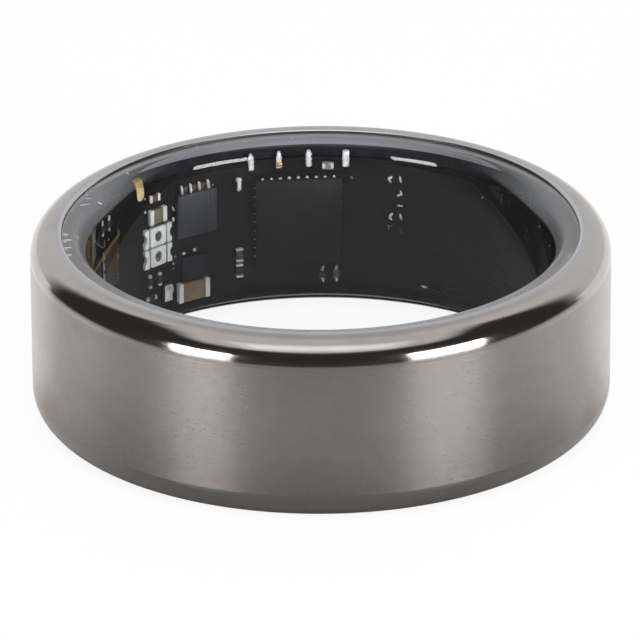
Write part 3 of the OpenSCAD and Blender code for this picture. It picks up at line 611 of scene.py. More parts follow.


# Small light marks on the upper rim: degrees, radius, length, width and turn; the last four, at the
# far left, are painted glints over the rim contacts
nicksAndGlints = ((-69.9, 10.5, 0.35, 0.07, -81), (-73.5, 10.43, 0.62, 0.07, -38),
         (-68.2, 10.11, 0.34, 0.07, -42), (-52.2, 10.47, 0.18, 0.08, -92),
         (-29.8, 10.75, 0.14, 0.07, -7), (-24.5, 10.7, 0.1, 0.06, 3),
         (-6.7, 10.43, 0.06, 0.06, -4), (-91.7, 10.7, 0.17, 0.09, -100),
         (-94.8, 10.64, 0.33, 0.15, -101), (-99.1, 10.7, 0.29, 0.13, -104),
         (-103.2, 10.78, 0.19, 0.14, -138))
markThick = 0.012


def makeResin():
    bm = bmesh.new()
    addRevolved(bm, resinHalf() + [(r, -z) for r, z in reversed(resinLowHalf())])
    # light marks in the rim, the last four of them painted glints
    for deg, r, length, width, turn in nicksAndGlints:
        part = bmesh.new()
        bmesh.ops.create_uvsphere(part, u_segments=16, v_segments=8, radius=0.5)
        part.transform(scaled((length, width, markThick)))
        part.transform(Matrix.Rotation(math.radians(turn), 4, "Z"))
        z, slope = rimAt(r)
        part.transform(Matrix.Rotation(slope, 4, "X"))
        joinInto(bm, part, placeAt(deg, r, z), 1)
    makePiece("clearWall", bm, ["clear", "markAndGlint"], ["inner_resin"], 15.0)


# The potting leaves the battery's place open, apart from a strip along each edge
potting = {"topGap": 0.005, "cut": 0.25, "stripZ": 2.78, "endDeg": 0.2, "battery": (102.9, 236.2)}


def makePotting():
    bm = bmesh.new()
    inner, outer = ring["lipR"], ring["channelR"] - fitGap
    top, cut, low = ring["channelHalf"] - potting["topGap"], potting["cut"], potting["stripZ"]
    (a, b), end = potting["battery"], potting["endDeg"]
    body = [(inner, -top), (inner, top), (outer - cut, top), (outer, top - cut),
            (outer, cut - top), (outer - cut, -top)]
    addRevolved(bm, body, b + end, a + 360 - end)
    for up in (1, -1):
        strip = [(inner, low * up), (inner, top * up), (outer - cut, top * up),
                 (outer, (top - cut) * up), (outer, low * up)]
        addRevolved(bm, strip, a - end, b + end)
    makePiece("blackPotting", bm, ["potting"], ["back_potting"])


makeShell()
makeResin()
makePotting()
print("shell, clear wall and potting made")


# Board, with a flat place under the main chip

mainChip = {"shares": (-0.164, 0.045), "size": (3.85, 0.42, 3.903), "padPitch": 0.4,
            "padCount": 9, "padReach": 0.06, "padSink": 0.045, "bead": (0.14, 0.12, 0.14),
            "rowSizes": (1.0, 0.15, 0.15, 0.4)}


def makeBoard():
    bm = bmesh.new()
    inner, outer = board["r"], board["r"] + board["t"]
    low, high = -board["h"] / 2 - board["drop"], board["h"] / 2 - board["drop"]
    corner, tail = board["corner"], board["tailHalf"]
    fromDeg, toDeg = boardDeg(-1), boardDeg(1)
    tailDeg = toDeg + math.degrees(board["tailMm"] / board["r"])
    columns = []
    steps = 240
    for i in range(steps + 1):
        deg = fromDeg + (toDeg - fromDeg) * i / steps
        away = min(math.radians(min(deg - fromDeg, toDeg - deg)) * board["r"], corner)
        cut = corner - math.sqrt(corner ** 2 - (corner - away) ** 2)
        columns.append((deg, low + cut, high - cut))
    uv = bm.loops.layers.uv.new("along")

    def addSheet(cells):
        rows = []
        for deg, z0, z1 in cells:
            rows.append([bm.verts.new(onRing(deg, r, z)) for r, z in
                         ((inner, z0), (inner, z1), (outer, z1), (outer, z0))])
        faces = [bm.faces.new(rows[0]), bm.faces.new(list(reversed(rows[-1])))]
        for a, b in zip(rows, rows[1:]):
            for j in range(4):
                k = (j + 1) % 4
                faces.append(bm.faces.new((a[j], a[k], b[k], b[j])))
        bmesh.ops.recalc_face_normals(bm, faces=faces)

    addSheet(columns)
    addSheet([(toDeg - 1 + (tailDeg - toDeg + 1) * i / 12, -tail, tail) for i in range(13)])
    flat = mainChip["size"][0] + board["flatMore"]
    addBlock(bm, onBoard(mainChip["shares"], mainChip["size"][0]),
             (flat, board["flatT"], flat + 0.05), 0.0, lift=-fitGap)
    for face in bm.faces:
        for loop in face.loops:
            x, y, z = loop.vert.co
            loop[uv].uv = (math.atan2(x, y) * board["r"], z / mm)
    makePiece("curvedBoard", bm, ["boardMask"], ["flex_board"])


makeBoard()
print("board made")


# Chips

powerChip = {"shares": (-0.503, 0.392), "size": (2.0, 0.48, 1.98), "leadPitch": 0.46,
             "leadCount": 4, "strips": 9, "stripT": 0.03, "stripShares": (0.098, 0.055, 0.86),
             "flux": (0.45, 0.05, 0.26, 0.14)}
motionChip = {"shares": (-0.508, -0.47), "size": (1.35, 0.4, 1.078), "field": (0.62, 0.4),
              "fieldT": 0.03, "fieldShift": (0.02, 0.16)}


def makeChips():
    bm = bmesh.new()
    place = onBoard(mainChip["shares"], mainChip["size"][0])
    addBlock(bm, place, mainChip["size"], 0.04)
    makePiece("mainChip", bm, ["chipBlack"], ["main_chip"])

    bm = bmesh.new()
    place = onBoard(powerChip["shares"], powerChip["size"][0])
    w, t, h = powerChip["size"]
    addBlock(bm, place, (w, t - 0.004, h), 0.03)
    pitch, wide, high = powerChip["stripShares"]
    for i in range(powerChip["strips"]):  # fine upright steps on the chip's face
        x = (i - (powerChip["strips"] - 1) / 2) * w * pitch
        addBlock(bm, place, (w * wide, powerChip["stripT"], h * high), 0.006,
                 lift=t - powerChip["stripT"], shift=(x, 0))
    makePiece("powerChip", bm, ["chipGrey"], ["power_chip"])

    bm = bmesh.new()
    count, pitch = powerChip["leadCount"], powerChip["leadPitch"]
    for i in range(count):
        x = (i - (count - 1) / 2) * pitch
        lead = place @ Matrix.Translation((x * mm, 0, (h / 2) * mm))
        addLump(bm, lead, [(-0.02, 0.05, 0.3), (0.08, 0.06, 0.34), (0.18, 0.065, 0.3),
                           (0.27, 0.075, 0.22), (0.34, 0.06, 0.14), (0.38, 0.03, 0.08)],
                11 + i, 0.18)
    share, thick, high, up = powerChip["flux"]
    for i in range(count - 1):
        x = (i + 0.5 - (count - 1) / 2) * pitch
        addBlock(bm, place, (pitch * share, thick, high), 0.015, 1, shift=(x, h / 2 + up))
    makePiece("powerChipLeads", bm, ["solder", "flux"], ["power_chip_leads"])

    bm = bmesh.new()
    place = onBoard(motionChip["shares"], motionChip["size"][0])
    w, t, h = motionChip["size"]
    addBlock(bm, place, (w, t - 0.01, h), 0.035)
    wide, high = motionChip["field"]
    addBlock(bm, place, (w * wide, motionChip["fieldT"], h * high), 0.008,
             lift=t - motionChip["fieldT"], shift=motionChip["fieldShift"])
    makePiece("motionChip", bm, ["chipBlue"], ["motion_sensor"])


makeChips()
print("chips made")


# Lamps and light sensor

lamp = {"shares": (-0.656, 0.053), "size": (1.64, 0.4, 0.861), "space": 0.08, "endW": 0.27,
        "gap": 0.09, "notchR": 0.26, "notchDepth": 0.12, "well": (0.2, 0.25), "wellDepth": 0.16,
        "wellTaper": 0.82, "edge": 0.97, "rimCut": 0.02, "baseT": 0.14, "endShare": 0.94,
        "crystal": (0.2, 0.1, 0.22), "bond": (0.07, 0.02, 0.08)}


def lampPlace(up):
    base = onBoard(lamp["shares"], lamp["size"][0])
    return base @ Matrix.Translation((0, 0, up * (lamp["size"][2] + lamp["space"]) / 2 * mm))


def addLampBody(bm, place):  # a block with an oval well, made as rings of faces round it
    w, t, h = lamp["size"]
    w -= 2 * (lamp["endW"] + lamp["gap"])
    part = bmesh.new()
    count = 40
    turns = [2 * math.pi * (i + 0.5) / count for i in range(count)]
    corners = []
    for a in turns:
        c, s = math.cos(a), math.sin(a)
        k = min(w / 2 / max(abs(c), 1e-6), h / 2 / max(abs(s), 1e-6))
        corners.append((c * k, s * k))

    def ringOf(points, y):
        return [part.verts.new((x * mm, y * mm, z * mm)) for x, z in points]

    a0, b0 = lamp["well"]
    edge, taper = lamp["edge"], lamp["wellTaper"]
    well = [(math.cos(a) * a0, math.sin(a) * b0) for a in turns]
    rows = [ringOf(corners, -0.01), ringOf(corners, -t + lamp["rimCut"]),
            ringOf([(x * edge, z * edge) for x, z in corners], -t), ringOf(well, -t),
            ringOf([(x * taper, z * taper) for x, z in well], -t + lamp["wellDepth"])]
    faces = [part.faces.new(rows[0])]
    inner = [part.faces.new(rows[-1])]
    for n, (a, b) in enumerate(zip(rows, rows[1:])):
        for j in range(count):
            k = (j + 1) % count
            (inner if n == 3 else faces).append(part.faces.new((a[j], a[k], b[k], b[j])))
    bmesh.ops.recalc_face_normals(part, faces=part.faces[:])
    for face in inner:
        face.material_index = 2
    joinInto(bm, part, place, None)


def lampEnd(side):  # the outline of one end, with a wide round bite in its outer edge
    w, h = lamp["size"][0], lamp["size"][2]
    r, depth = lamp["notchR"], lamp["notchDepth"]
    outer, inner = side * w / 2, side * (w / 2 - lamp["endW"])
    reach = math.degrees(math.acos(1 - depth / r))
    bite = [(outer - side * (depth - r) - side * r * math.cos(math.radians(a)),
             r * math.sin(math.radians(a)))
            for a in (reach - 2 * reach * i / 10 for i in range(11))]
    return [(inner, h / 2), (outer, h / 2)] + bite + [(outer, -h / 2), (inner, -h / 2)]


def makeLamps():
    w, t, h = lamp["size"]
    for name, up, node in (("upperLamp", 1, "led_upper"), ("lowerLamp", -1, "led_lower")):
        bm = bmesh.new()
        addLampBody(bm, lampPlace(up))
        addBlock(bm, lampPlace(up), (w - 2 * lamp["endW"], lamp["baseT"], h - 0.01), 0.01, 1)
        makePiece(name, bm, ["lampBody", "lampBase", "lampWell"], [node])
    bm = bmesh.new()
    for up in (1, -1):
        for side in (1, -1):
            addPlate(bm, lampPlace(up), lampEnd(side), t * lamp["endShare"])
    makePiece("lampEnds", bm, ["plating"], ["led_terminals"])
    bm = bmesh.new()
    for up, finish in ((1, 0), (-1, 1)):
        floor = t - lamp["wellDepth"]
        addBlock(bm, lampPlace(up), lamp["crystal"], 0.012, finish, lift=floor)
        addBlock(bm, lampPlace(up), lamp["bond"], 0.006, 2, lift=floor + lamp["crystal"][1])
    makePiece("lampCrystals", bm, ["darkCrystal", "redCrystal", "greyOlive"], ["led_crystals"])


lightSensor = {"shares": (-0.9, 0.12), "size": (1.3, 0.36, 1.852), "frame": 0.14, "sunk": 0.05,
               "joints": 4}


def makeLightSensor():
    w, t, h = lightSensor["size"]
    place = onBoard(lightSensor["shares"], w)
    bm = bmesh.new()
    edge = lightSensor["frame"]
    addBlock(bm, place, (w, t - lightSensor["sunk"], h), 0.02)
    for side in (1, -1):
        addBlock(bm, place, (edge, t, h), 0.02, 0, shift=(side * (w - edge) / 2, 0))
        addBlock(bm, place, (w - edge, t - 0.003, edge), 0.02, 0, shift=(0, side * (h - edge) / 2))
    makePiece("lightSensor", bm, ["sensorBrown"], ["light_sensor"])
    bm = bmesh.new()
    count = lightSensor["joints"]
    for side in (1, -1):
        for i in range(count):
            z = (i - (count - 1) / 2) * h / count
            joint = place @ Matrix.Translation((side * (w / 2 + 0.015) * mm, 0, z * mm))
            addLump(bm, joint, [(-0.21, 0.02, 0.16), (-0.13, 0.07, 0.3), (-0.04, 0.045, 0.36),
                                (0.05, 0.075, 0.3), (0.13, 0.05, 0.36), (0.2, 0.02, 0.2)],
                    31 + 5 * i + side, 0.3)
    makePiece("lightSensorJoints", bm, ["solder"], ["light_sensor_joints"])


makeLamps()
makeLightSensor()
print("lamps and light sensor made")


# Capacitors, resistors and other small parts

bulk = {"shares": (-0.517, -0.828), "size": (1.62, 0.5, 0.838), "endW": 0.24}
filterCap = {"shares": (-0.653, 0.532), "size": (1.02, 0.42, 0.662), "endW": 0.24}
# Each small part: share along the board, share of its height, turn, body's finish, ends' form
small = {
    "size": (0.621, 0.26, 0.299), "endW": 0.149,
    "capacitors": ((-0.661, 0.816, 0, 1, "block"), (-0.352, -0.44, 90, 0, "bar"),
                   (-0.352, -0.69, 90, 2, "bar"), (-0.048, -0.835, 90, 1, "crumb"),
                   (-0.09, -0.845, 90, 2, "crumb")),
    "resistors": ((-0.685, -0.49, 90, 0, "dome"), (-0.643, -0.505, 90, 0, "dome"),
                  (-0.68, -0.761, 0, 0, "dome"), (-0.352, 0.69, 90, 0, "pill"),
                  (-0.951, 0.807, 90, 0, "crumb"), (-0.902, 0.807, 90, 0, "crumb")),
}


def addBody(bm, place, size, endW, finish=0):
    addBlock(bm, place, (size[0] - 2 * endW + 0.02, size[1], size[2]), 0.02, finish)


def addEnds(bm, place, size, endW, proud=0.015):
    for side in (1, -1):
        addBlock(bm, place, (endW, size[1] + proud, size[2] + 2 * proud), 0.035, 0, segments=3,
                 shift=(side * (size[0] - endW) / 2, 0))


def addSmallEnds(bm, place, form, seed):
    w, t, h = small["size"]
    endW = small["endW"]
    if form == "pill":  # solder has run over the whole part
        flat = place @ Matrix.Rotation(math.pi / 2, 4, "Y")
        addLump(bm, flat, [(-0.31, 0.08, 0.24), (-0.26, 0.13, 0.3), (-0.1, 0.14, 0.32),
                           (0.1, 0.135, 0.32), (0.2, 0.12, 0.3), (0.29, 0.06, 0.24),
                           (0.33, 0.02, 0.2)], seed, 0.16)
        return
    for side in (1, -1):
        x = side * (w - endW) / 2
        if form == "dome":
            addBead(bm, place, (0.2, t + 0.1, h * 0.75), 0, lift=t / 2, rings=8, shift=(x, 0))
        elif form == "crumb":
            spot = place @ Matrix.Translation((x * mm, 0, 0)) @ Matrix.Rotation(
                math.radians(70 * side), 4, "Y")
            addLump(bm, spot, [(-0.13, 0.03, 0.2), (-0.06, 0.07, 0.28), (0.02, 0.045, 0.3),
                               (0.09, 0.06, 0.26), (0.14, 0.02, 0.2)], seed + side, 0.35)
        else:
            width = endW * (0.7 if form == "bar" else 1.0)
            addBlock(bm, place, (width, t + 0.015, h + 0.03), 0.03, 0, segments=3,
                     shift=(side * (w - width) / 2, 0))


def makeCapacitors():
    for name, spec, look, node, slotName in (
            ("bulkCapacitor", bulk, "tan", "bulk_capacitor", "capacitor_tan"),
            ("filterCapacitor", filterCap, "olive", "filter_capacitor", "capacitor_olive")):
        place = onBoard(spec["shares"], spec["size"][0])
        bm = bmesh.new()
        addBody(bm, place, spec["size"], spec["endW"])
        makePiece(name, bm, [look], [node])
        bm = bmesh.new()
        addEnds(bm, place, spec["size"], spec["endW"])
        makePiece(name + "Ends", bm, ["plating"], [node + "_ends"])
    ends = bmesh.new()
    seed = 50
    for name, key, used, node, slotName in (
            ("smallCapacitors", "capacitors", ("greyOlive", "brownCeramic", "resistor"),
             "small_capacitors", "capacitor_tan"),
            ("smallResistors", "resistors", ("resistor",), "small_resistors", "resistor_dark")):
        bm = bmesh.new()
        for along, up, turn, finish, form in small[key]:
            place = onBoard((along, up), small["size"][0], turn)
            addBody(bm, place, small["size"], small["endW"], finish)
            addSmallEnds(ends, place, form, seed)
            seed += 3
        makePiece(name, bm, used, [node])
    makePiece("smallEnds", ends, ["plating"], ["small_part_ends"])


crystal = {"shares": (-0.613, -0.762), "size": (0.52, 0.36, 0.838), "border": 0.05, "lid": 0.08,
           "bar": 0.07, "lidShare": 0.7}
warmth = {"shares": (-0.072, 0.9), "size": (0.52, 0.3, 0.322), "less": 0.04, "endIn": 0.08}


def makeOtherParts():
    w, t, h = crystal["size"]
    place = onBoard(crystal["shares"], w)
    bm = bmesh.new()
    addBlock(bm, place, (w, t - crystal["lid"], h), 0.02)
    makePiece("timingCrystal", bm, ["darkCeramic"], ["timing_crystal"])
    bm = bmesh.new()
    lid, bar = crystal["lid"], crystal["bar"]
    wide, high, top = w - 2 * crystal["border"], h - 2 * crystal["border"], t - lid
    addBlock(bm, place, (wide, lid * crystal["lidShare"], high), 0.02, 1, lift=top)
    for side in (1, -1):
        addBlock(bm, place, (bar, lid, high), 0.015, lift=top, shift=(side * (wide - bar) / 2, 0))
        addBlock(bm, place, (wide, lid, bar), 0.015, lift=top, shift=(0, side * (high - bar) / 2))
    makePiece("crystalLid", bm, ["plating", "nickel"], ["timing_crystal_lid"])
    bm = bmesh.new()
    w, t, h = warmth["size"]
    place = onBoard(warmth["shares"], w)
    addBlock(bm, place, (w - warmth["less"], t - warmth["less"], h), 0.03, 1)
    for side in (1, -1):
        end = place @ Matrix.Translation((side * (w / 2 - warmth["endIn"]) * mm, 0, 0))
        addLump(bm, end, [(-0.15, 0.04, 0.24), (-0.09, 0.08, 0.32), (0, 0.065, 0.33),
                          (0.09, 0.085, 0.32), (0.15, 0.04, 0.24)], 71 + side, 0.2)
    makePiece("warmthSensor", bm, ["plating", "whiteCeramic"],
              ["temperature_sensor"])


makeCapacitors()
makeOtherParts()
print("small parts made")


# Contacts, solder and wires

# Each of the four edge contacts has its own width, waist, upper end and unevenness
edgeContacts = {"shares": (-0.311, -0.223, -0.131, -0.017), "w": 0.3, "t": 0.26, "neckMm": 0.46,
                "lowZ": 2.5, "topZ": 3.13, "bandZ": (2.6, 2.78), "banded": 1, "steps": 9,
                "wide": (0.92, 0.92, 0.96, 1.06), "pinch": (0.24, 0.24, 0.18, 0.03),
                "tip": (0.4, 0.45, 0.5, 0.95), "uneven": (0.17, 0.17, 0.14, 0.06)}
goldPad = {"shares": (-0.72, 0.93), "w": 0.46, "t": 0.07}
rimContacts = {"count": 4, "step": 4.0, "from": -88.0, "r": 10.92, "size": (0.22, 0.2, 0.24)}
boardTopZ = board["h"] / 2 - board["drop"]


def makeContacts():
    bm = bmesh.new()
    c = edgeContacts
    half, thick, low, top = c["w"] / 2, c["t"], c["lowZ"], c["topZ"]
    for i, share in enumerate(c["shares"]):
        place = placeAt(boardDeg(share), seatOf(c["w"]), 0)
        wide, pinch, tip = half * c["wide"][i], c["pinch"][i], c["tip"][i]
        stations = [(low, wide * 0.75, thick * 0.7), (low + 0.04, wide, thick)]
        for k in range(1, c["steps"] + 1):
            share = k / c["steps"]
            waist = 1 - pinch * math.sin(share * 9 + i * 2) ** 2
            stations.append((low + 0.04 + share * c["neckMm"], wide * waist,
                             thick * (1.05 - 0.1 * share)))
        stations += [(low + 0.55, wide * (1 + tip) / 2, thick * 0.9),
                     (top, wide * tip, thick * 0.7)]
        addLump(bm, place, stations, 90 + i, c["uneven"][i])
        if i == c["banded"]:
            z0, z1 = c["bandZ"]
            addBlock(bm, place, (c["w"] * 0.9, thick + 0.05, z1 - z0), 0.03, 1,
                     shift=(0, (z0 + z1) / 2))
    makePiece("edgeContacts", bm, ["solder", "goldWire"], ["edge_contacts"])

    bm = bmesh.new()
    place = placeAt(boardDeg(goldPad["shares"][0]), seatOf(goldPad["w"]), 0)
    low, top, r = boardZ(goldPad["shares"][1]), edgeContacts["topZ"], goldPad["w"] / 2
    outline = [(r * math.cos(a), low + r * math.sin(a)) for a in
               (math.pi + math.pi * i / 20 for i in range(21))] + [(r, top), (-r, top)]
    addPlate(bm, place, outline, goldPad["t"])
    addBlock(bm, place, (goldPad["w"], board["t"] + fitGap + goldPad["t"], top - boardTopZ - 0.02),
             0.02, 0, lift=-board["t"] - fitGap, shift=(0, (top + boardTopZ + 0.02) / 2))
    makePiece("goldContact", bm, ["gold"], ["gold_contact"])

    bm = bmesh.new()
    z = edgeContacts["topZ"] - rimContacts["size"][2] / 2
    for i in range(rimContacts["count"]):
        place = placeAt(rimContacts["from"] - i * rimContacts["step"], rimContacts["r"], z)
        addBlock(bm, place, rimContacts["size"], 0.05, 0, segments=3)
    makePiece("rimContacts", bm, ["solder"], ["rim_contacts"])


# Loose solder: degrees, height, turn, length, width and brightness (0 dim, 1 bright); the dim ones
# are painted shade, the same solder given the darker nickel finish
solderMarks = {
    "spots": ((-47.2, 2.39, 0, 0.14, 0.12, 0), (-47.2, 1.77, 20, 0.15, 0.14, 1),
              (-38.0, 1.44, 65, 0.3, 0.1, 1), (-38.0, 0.95, 80, 0.24, 0.14, 1),
              (-37.6, -0.81, 0, 0.14, 0.12, 0), (-38.2, -1.11, 0, 0.13, 0.13, 1),
              (-38.2, -1.35, 0, 0.11, 0.11, 0), (-35.0, -0.8, 0, 0.2, 0.16, 1),
              (-31.9, -0.75, 0, 0.2, 0.18, 1), (-28.6, -2.04, 30, 0.18, 0.14, 1),
              (-26.7, 2.1, 0, 0.1, 0.1, 0), (7.5, 1.97, 15, 0.16, 0.1, 0),
              (2.4, 1.47, 60, 0.26, 0.05, 0), (2.0, -2.1, 0, 0.12, 0.1, 0),
              (42.7, 2.14, 0, 0.11, 0.1, 0), (67.2, 2.3, 0, 0.12, 0.1, 0),
              (75.4, 2.01, 0, 0.12, 0.1, 0), (-63.1, 1.52, 0, 0.12, 0.12, 0),
              (-38.5, -2.3, 90, 0.42, 0.1, 1), (-20.3, -1.9, 90, 0.12, 0.12, 0)),
    # short strokes that lean on each other
    "strokes": ((17.0, 2.12, -35, 0.26, 0.13, 1), (16.9, 1.98, 48, 0.24, 0.08, 1),
                (19.6, 2.1, 78, 0.3, 0.1, 1), (19.4, 1.36, -20, 0.26, 0.1, 1),
                (19.8, 1.46, 70, 0.24, 0.09, 1), (19.5, 0.86, 0, 0.28, 0.09, 1),
                (17.2, 0.36, -50, 0.26, 0.13, 1), (17.1, 0.22, 48, 0.24, 0.1, 1),
                (19.7, 0.34, 75, 0.3, 0.11, 1), (16.9, -0.14, 3, 0.28, 0.06, 0),
                (16.6, -0.24, 90, 0.2, 0.05, 0), (19.5, -0.16, -8, 0.16, 0.05, 0),
                (20.0, -0.34, 72, 0.26, 0.07, 0), (25.8, -2.78, 4, 0.32, 0.11, 1),
                (29.2, -2.83, 3, 0.7, 0.03, 0)),
}


def makeSolderMarks():
    bm = bmesh.new()
    # dim marks get the nickel finish: painted shade on the same solder
    for deg, z, turn, length, width, bright in solderMarks["spots"]:
        addBead(bm, placeAt(deg, seatOf(length), z, turn),
                (length, 0.14 if bright else 0.09, width), 0 if bright else 1)
    for n, (deg, z, turn, length, width, bright) in enumerate(solderMarks["strokes"]):
        place = placeAt(deg, seatOf(length), z, turn) @ Matrix.Rotation(math.pi / 2, 4, "Y")
        half = length / 2
        addLump(bm, place, [(-half, width * 0.18, 0.06), (-half * 0.6, width * 0.42, 0.1),
                            (0, width * 0.5, 0.13), (half * 0.6, width * 0.4, 0.1),
                            (half, width * 0.15, 0.06)], 120 + n, 0.22, 0 if bright else 1)
    makePiece("solderMarks", bm, ["solder", "nickel"], ["solder_marks"])


def makePadTree():  # beads in rows along the four sides of a square chip
    tree = bpy.data.node_groups.new("chipPads", "GeometryNodeTree")
    face = tree.interface
    face.new_socket("Geometry", in_out="OUTPUT", socket_type="NodeSocketGeometry")
    for name, kind in (("Pitch", "NodeSocketFloat"), ("Count", "NodeSocketInt"),
                       ("Reach", "NodeSocketFloat"), ("Bead", "NodeSocketVector"),
                       ("Seat", "NodeSocketFloat"), ("Turn", "NodeSocketFloat"),
                       ("Height", "NodeSocketFloat"), ("Finish", "NodeSocketMaterial")):
        face.new_socket(name, in_out="INPUT", socket_type=kind)
    given = addNode(tree, "NodeGroupInput").outputs
    half = times(tree, minus(tree, given["Count"], 1.0), times(tree, given["Pitch"], -0.5))
    start = addNode(tree, "ShaderNodeCombineXYZ", {0: half, 2: given["Reach"]})
    step = addNode(tree, "ShaderNodeCombineXYZ", {0: given["Pitch"]})
    row = addNode(tree, "GeometryNodeMeshLine", {
        "Count": given["Count"], "Start Location": start.outputs[0], "Offset": step.outputs[0]})
    bead = addNode(tree, "GeometryNodeMeshIcoSphere", {"Radius": 0.5, "Subdivisions": 2})
    joined = addNode(tree, "GeometryNodeJoinGeometry")
    for k in range(4):  # the top row stands out, the others are nearly hidden
        size = mainChip["rowSizes"][k]
        spread = addNode(tree, "FunctionNodeRandomValue", {
            "Min": (0.7 * size,) * 3, "Max": (1.2 * size,) * 3, "Seed": 7 + k},
            data_type="FLOAT_VECTOR")
        scale = addNode(tree, "ShaderNodeVectorMath", {0: given["Bead"], 1: spread.outputs[0]},
                        operation="MULTIPLY")
        beads = addNode(tree, "GeometryNodeInstanceOnPoints", {
            "Points": row.outputs[0], "Instance": bead.outputs[0], "Scale": scale.outputs[0]})
        turned = addNode(tree, "GeometryNodeTransform", {
            "Geometry": beads.outputs[0], "Rotation": (0, k * math.pi / 2, 0)})
        tree.links.new(turned.outputs[0], joined.inputs[0])
    move = addNode(tree, "ShaderNodeCombineXYZ", {1: given["Seat"], 2: given["Height"]})
    seated = addNode(tree, "GeometryNodeTransform", {
        "Geometry": joined.outputs[0], "Translation": move.outputs[0]})
    swing = addNode(tree, "ShaderNodeCombineXYZ", {2: given["Turn"]})
    placed = addNode(tree, "GeometryNodeTransform", {
        "Geometry": seated.outputs[0], "Rotation": swing.outputs[0]})
    real = addNode(tree, "GeometryNodeRealizeInstances", {0: placed.outputs[0]})
    painted = addNode(tree, "GeometryNodeSetMaterial", {
        "Geometry": real.outputs[0], "Material": given["Finish"]})
    addNode(tree, "NodeGroupOutput", {0: painted.outputs[0]})
    return tree


def growMesh(name, tree, values):  # runs a geometry tree and keeps its result as a plain mesh
    holder = bpy.data.objects.new(name, bpy.data.meshes.new(name + "Seed"))
    bpy.context.scene.collection.objects.link(holder)
    nodes = holder.modifiers.new("grow", "NODES")
    nodes.node_group = tree
    for item in tree.interface.items_tree:
        if item.item_type == "SOCKET" and item.in_out == "INPUT" and item.name in values:
            nodes[item.identifier] = values[item.name]
    holder.data.update()
    graph = bpy.context.evaluated_depsgraph_get()
    mesh = bpy.data.meshes.new_from_object(holder.evaluated_get(graph))
    holder.modifiers.clear()
    holder.data = mesh
    mesh.name = name
    mesh.shade_smooth()
    return holder


def makePads():
    w = mainChip["size"][0]
    piece = growMesh("mainChipPads", makePadTree(), {
        "Pitch": mainChip["padPitch"] * mm, "Count": mainChip["padCount"],
        "Reach": (w / 2 + mainChip["padReach"]) * mm,
        "Bead": [value * mm for value in mainChip["bead"]],
        "Seat": (seatOf(w + 4 * mainChip["padReach"]) - mainChip["padSink"]) * mm,
        "Height": boardZ(mainChip["shares"][1]) * mm,
        "Turn": -math.radians(boardDeg(mainChip["shares"][0])), "Finish": finishes["solder"]})
    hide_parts("main_chip_pads")
    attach(piece, "root")


# Each point of a wire: share along the board, share of its height, share of the wires' depth
leads = {"r": 0.028, "thinR": 0.022, "strands": 0.13, "above": 0.13, "endR": 10.52,
         "pair": ((-0.842, 0.56, 0.2), (-0.86, 0.526, 1), (-0.953, 0.392, 1)),
         "pairEnd": (-85.5, 0.44), "single": ((-0.93, 0.6, 0.2), (-0.96, 0.54, 0.7)),
         "singleEnd": (-75.6, 2.5)}


def makeLeads():
    bm = bmesh.new()
    depth = lightSensor["size"][1] + leads["above"]

    def over(points):
        return [onRing(boardDeg(along), board["r"] - share * depth, boardZ(up))
                for along, up, share in points]

    def ending(key):
        deg, z = leads[key]
        return onRing(deg, leads["endR"], z)

    for lift in (0.0, leads["strands"]):  # two strands run side by side
        rise = Vector((0, 0, lift * mm))
        strand = [point + rise for point in over(leads["pair"])]
        addTube(bm, strand + [ending("pairEnd") + rise * 0.5], leads["r"])
    addTube(bm, over(leads["single"]) + [ending("singleEnd")], leads["thinR"])
    makePiece("coilLeads", bm, ["goldWire"], ["coil_leads"])


makeContacts()
makeSolderMarks()
makePads()
makeLeads()
print("contacts, solder and wires made")


# Pieces that keep their CAD shape

kept = {
    "shell_liner": "amberFilm", "battery_cell": "foil", "battery_tabs": "nickel",
    "battery_tape": "amberFilm", "charging_coil": "copper", "coil_film": "coilFilm",
    "ferrite_sheet": "ferrite", "antenna": "copper",
}
for nodeName, look in kept.items():
    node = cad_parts[nodeName]
    for socket in node.material_slots:
        socket.material = finishes[look]
print("kept pieces finished")


# Studio. Angles are as seen from the ring: azimuth 0 is the camera's side, elevation is upwards

# What the camera and the clear wall see of the floor is white paper; what lights the ring is not:
# that tone is painted shade and light, dark in front of the ring and far from it, shaded at its
# foot, light at its sides and behind it
floorLook = {
    "z": -4.0, "size": 900.0, "rough": 0.25, "gloss": 0.1, "whiteGlow": 0.88, "whiteMatte": 0.16,
    "frontPaintedShade": 0.7, "sidePaintedLight": 0.95, "farPaintedShade": 0.07, "nearMm": 15.0, "farMm": 45.0,
    "squeeze": 0.6, "frontY": -12.0, "sideY": -3.0, "footY": -2.0, "footShade": 0.4,
    "sideShade": 0.8, "footMm": (12.5, 26.0), "lineX": 16.0, "lean": 0.6, "leanMore": 0.15,
    "edgeMm": 5.0, "edgeMore": 0.05, "edge": (-0.6, 1.0), "aroundMm": (10.5, 12.5),
}
skyLook = {
    "sky": 0.97, "dark": 0.05, "openMid": -6.5, "openHalf": 121.5, "soft": 9.0,
    "topFront": 45.0, "topSide": 59.0, "topTurn": (50.0, 95.0), "topSoft": 6.0,
    "dip": 0.24, "dipTurn": (140.0, 175.0), "dipLow": (28.0, 44.0), "dipHigh": (76.0, 60.0),
}


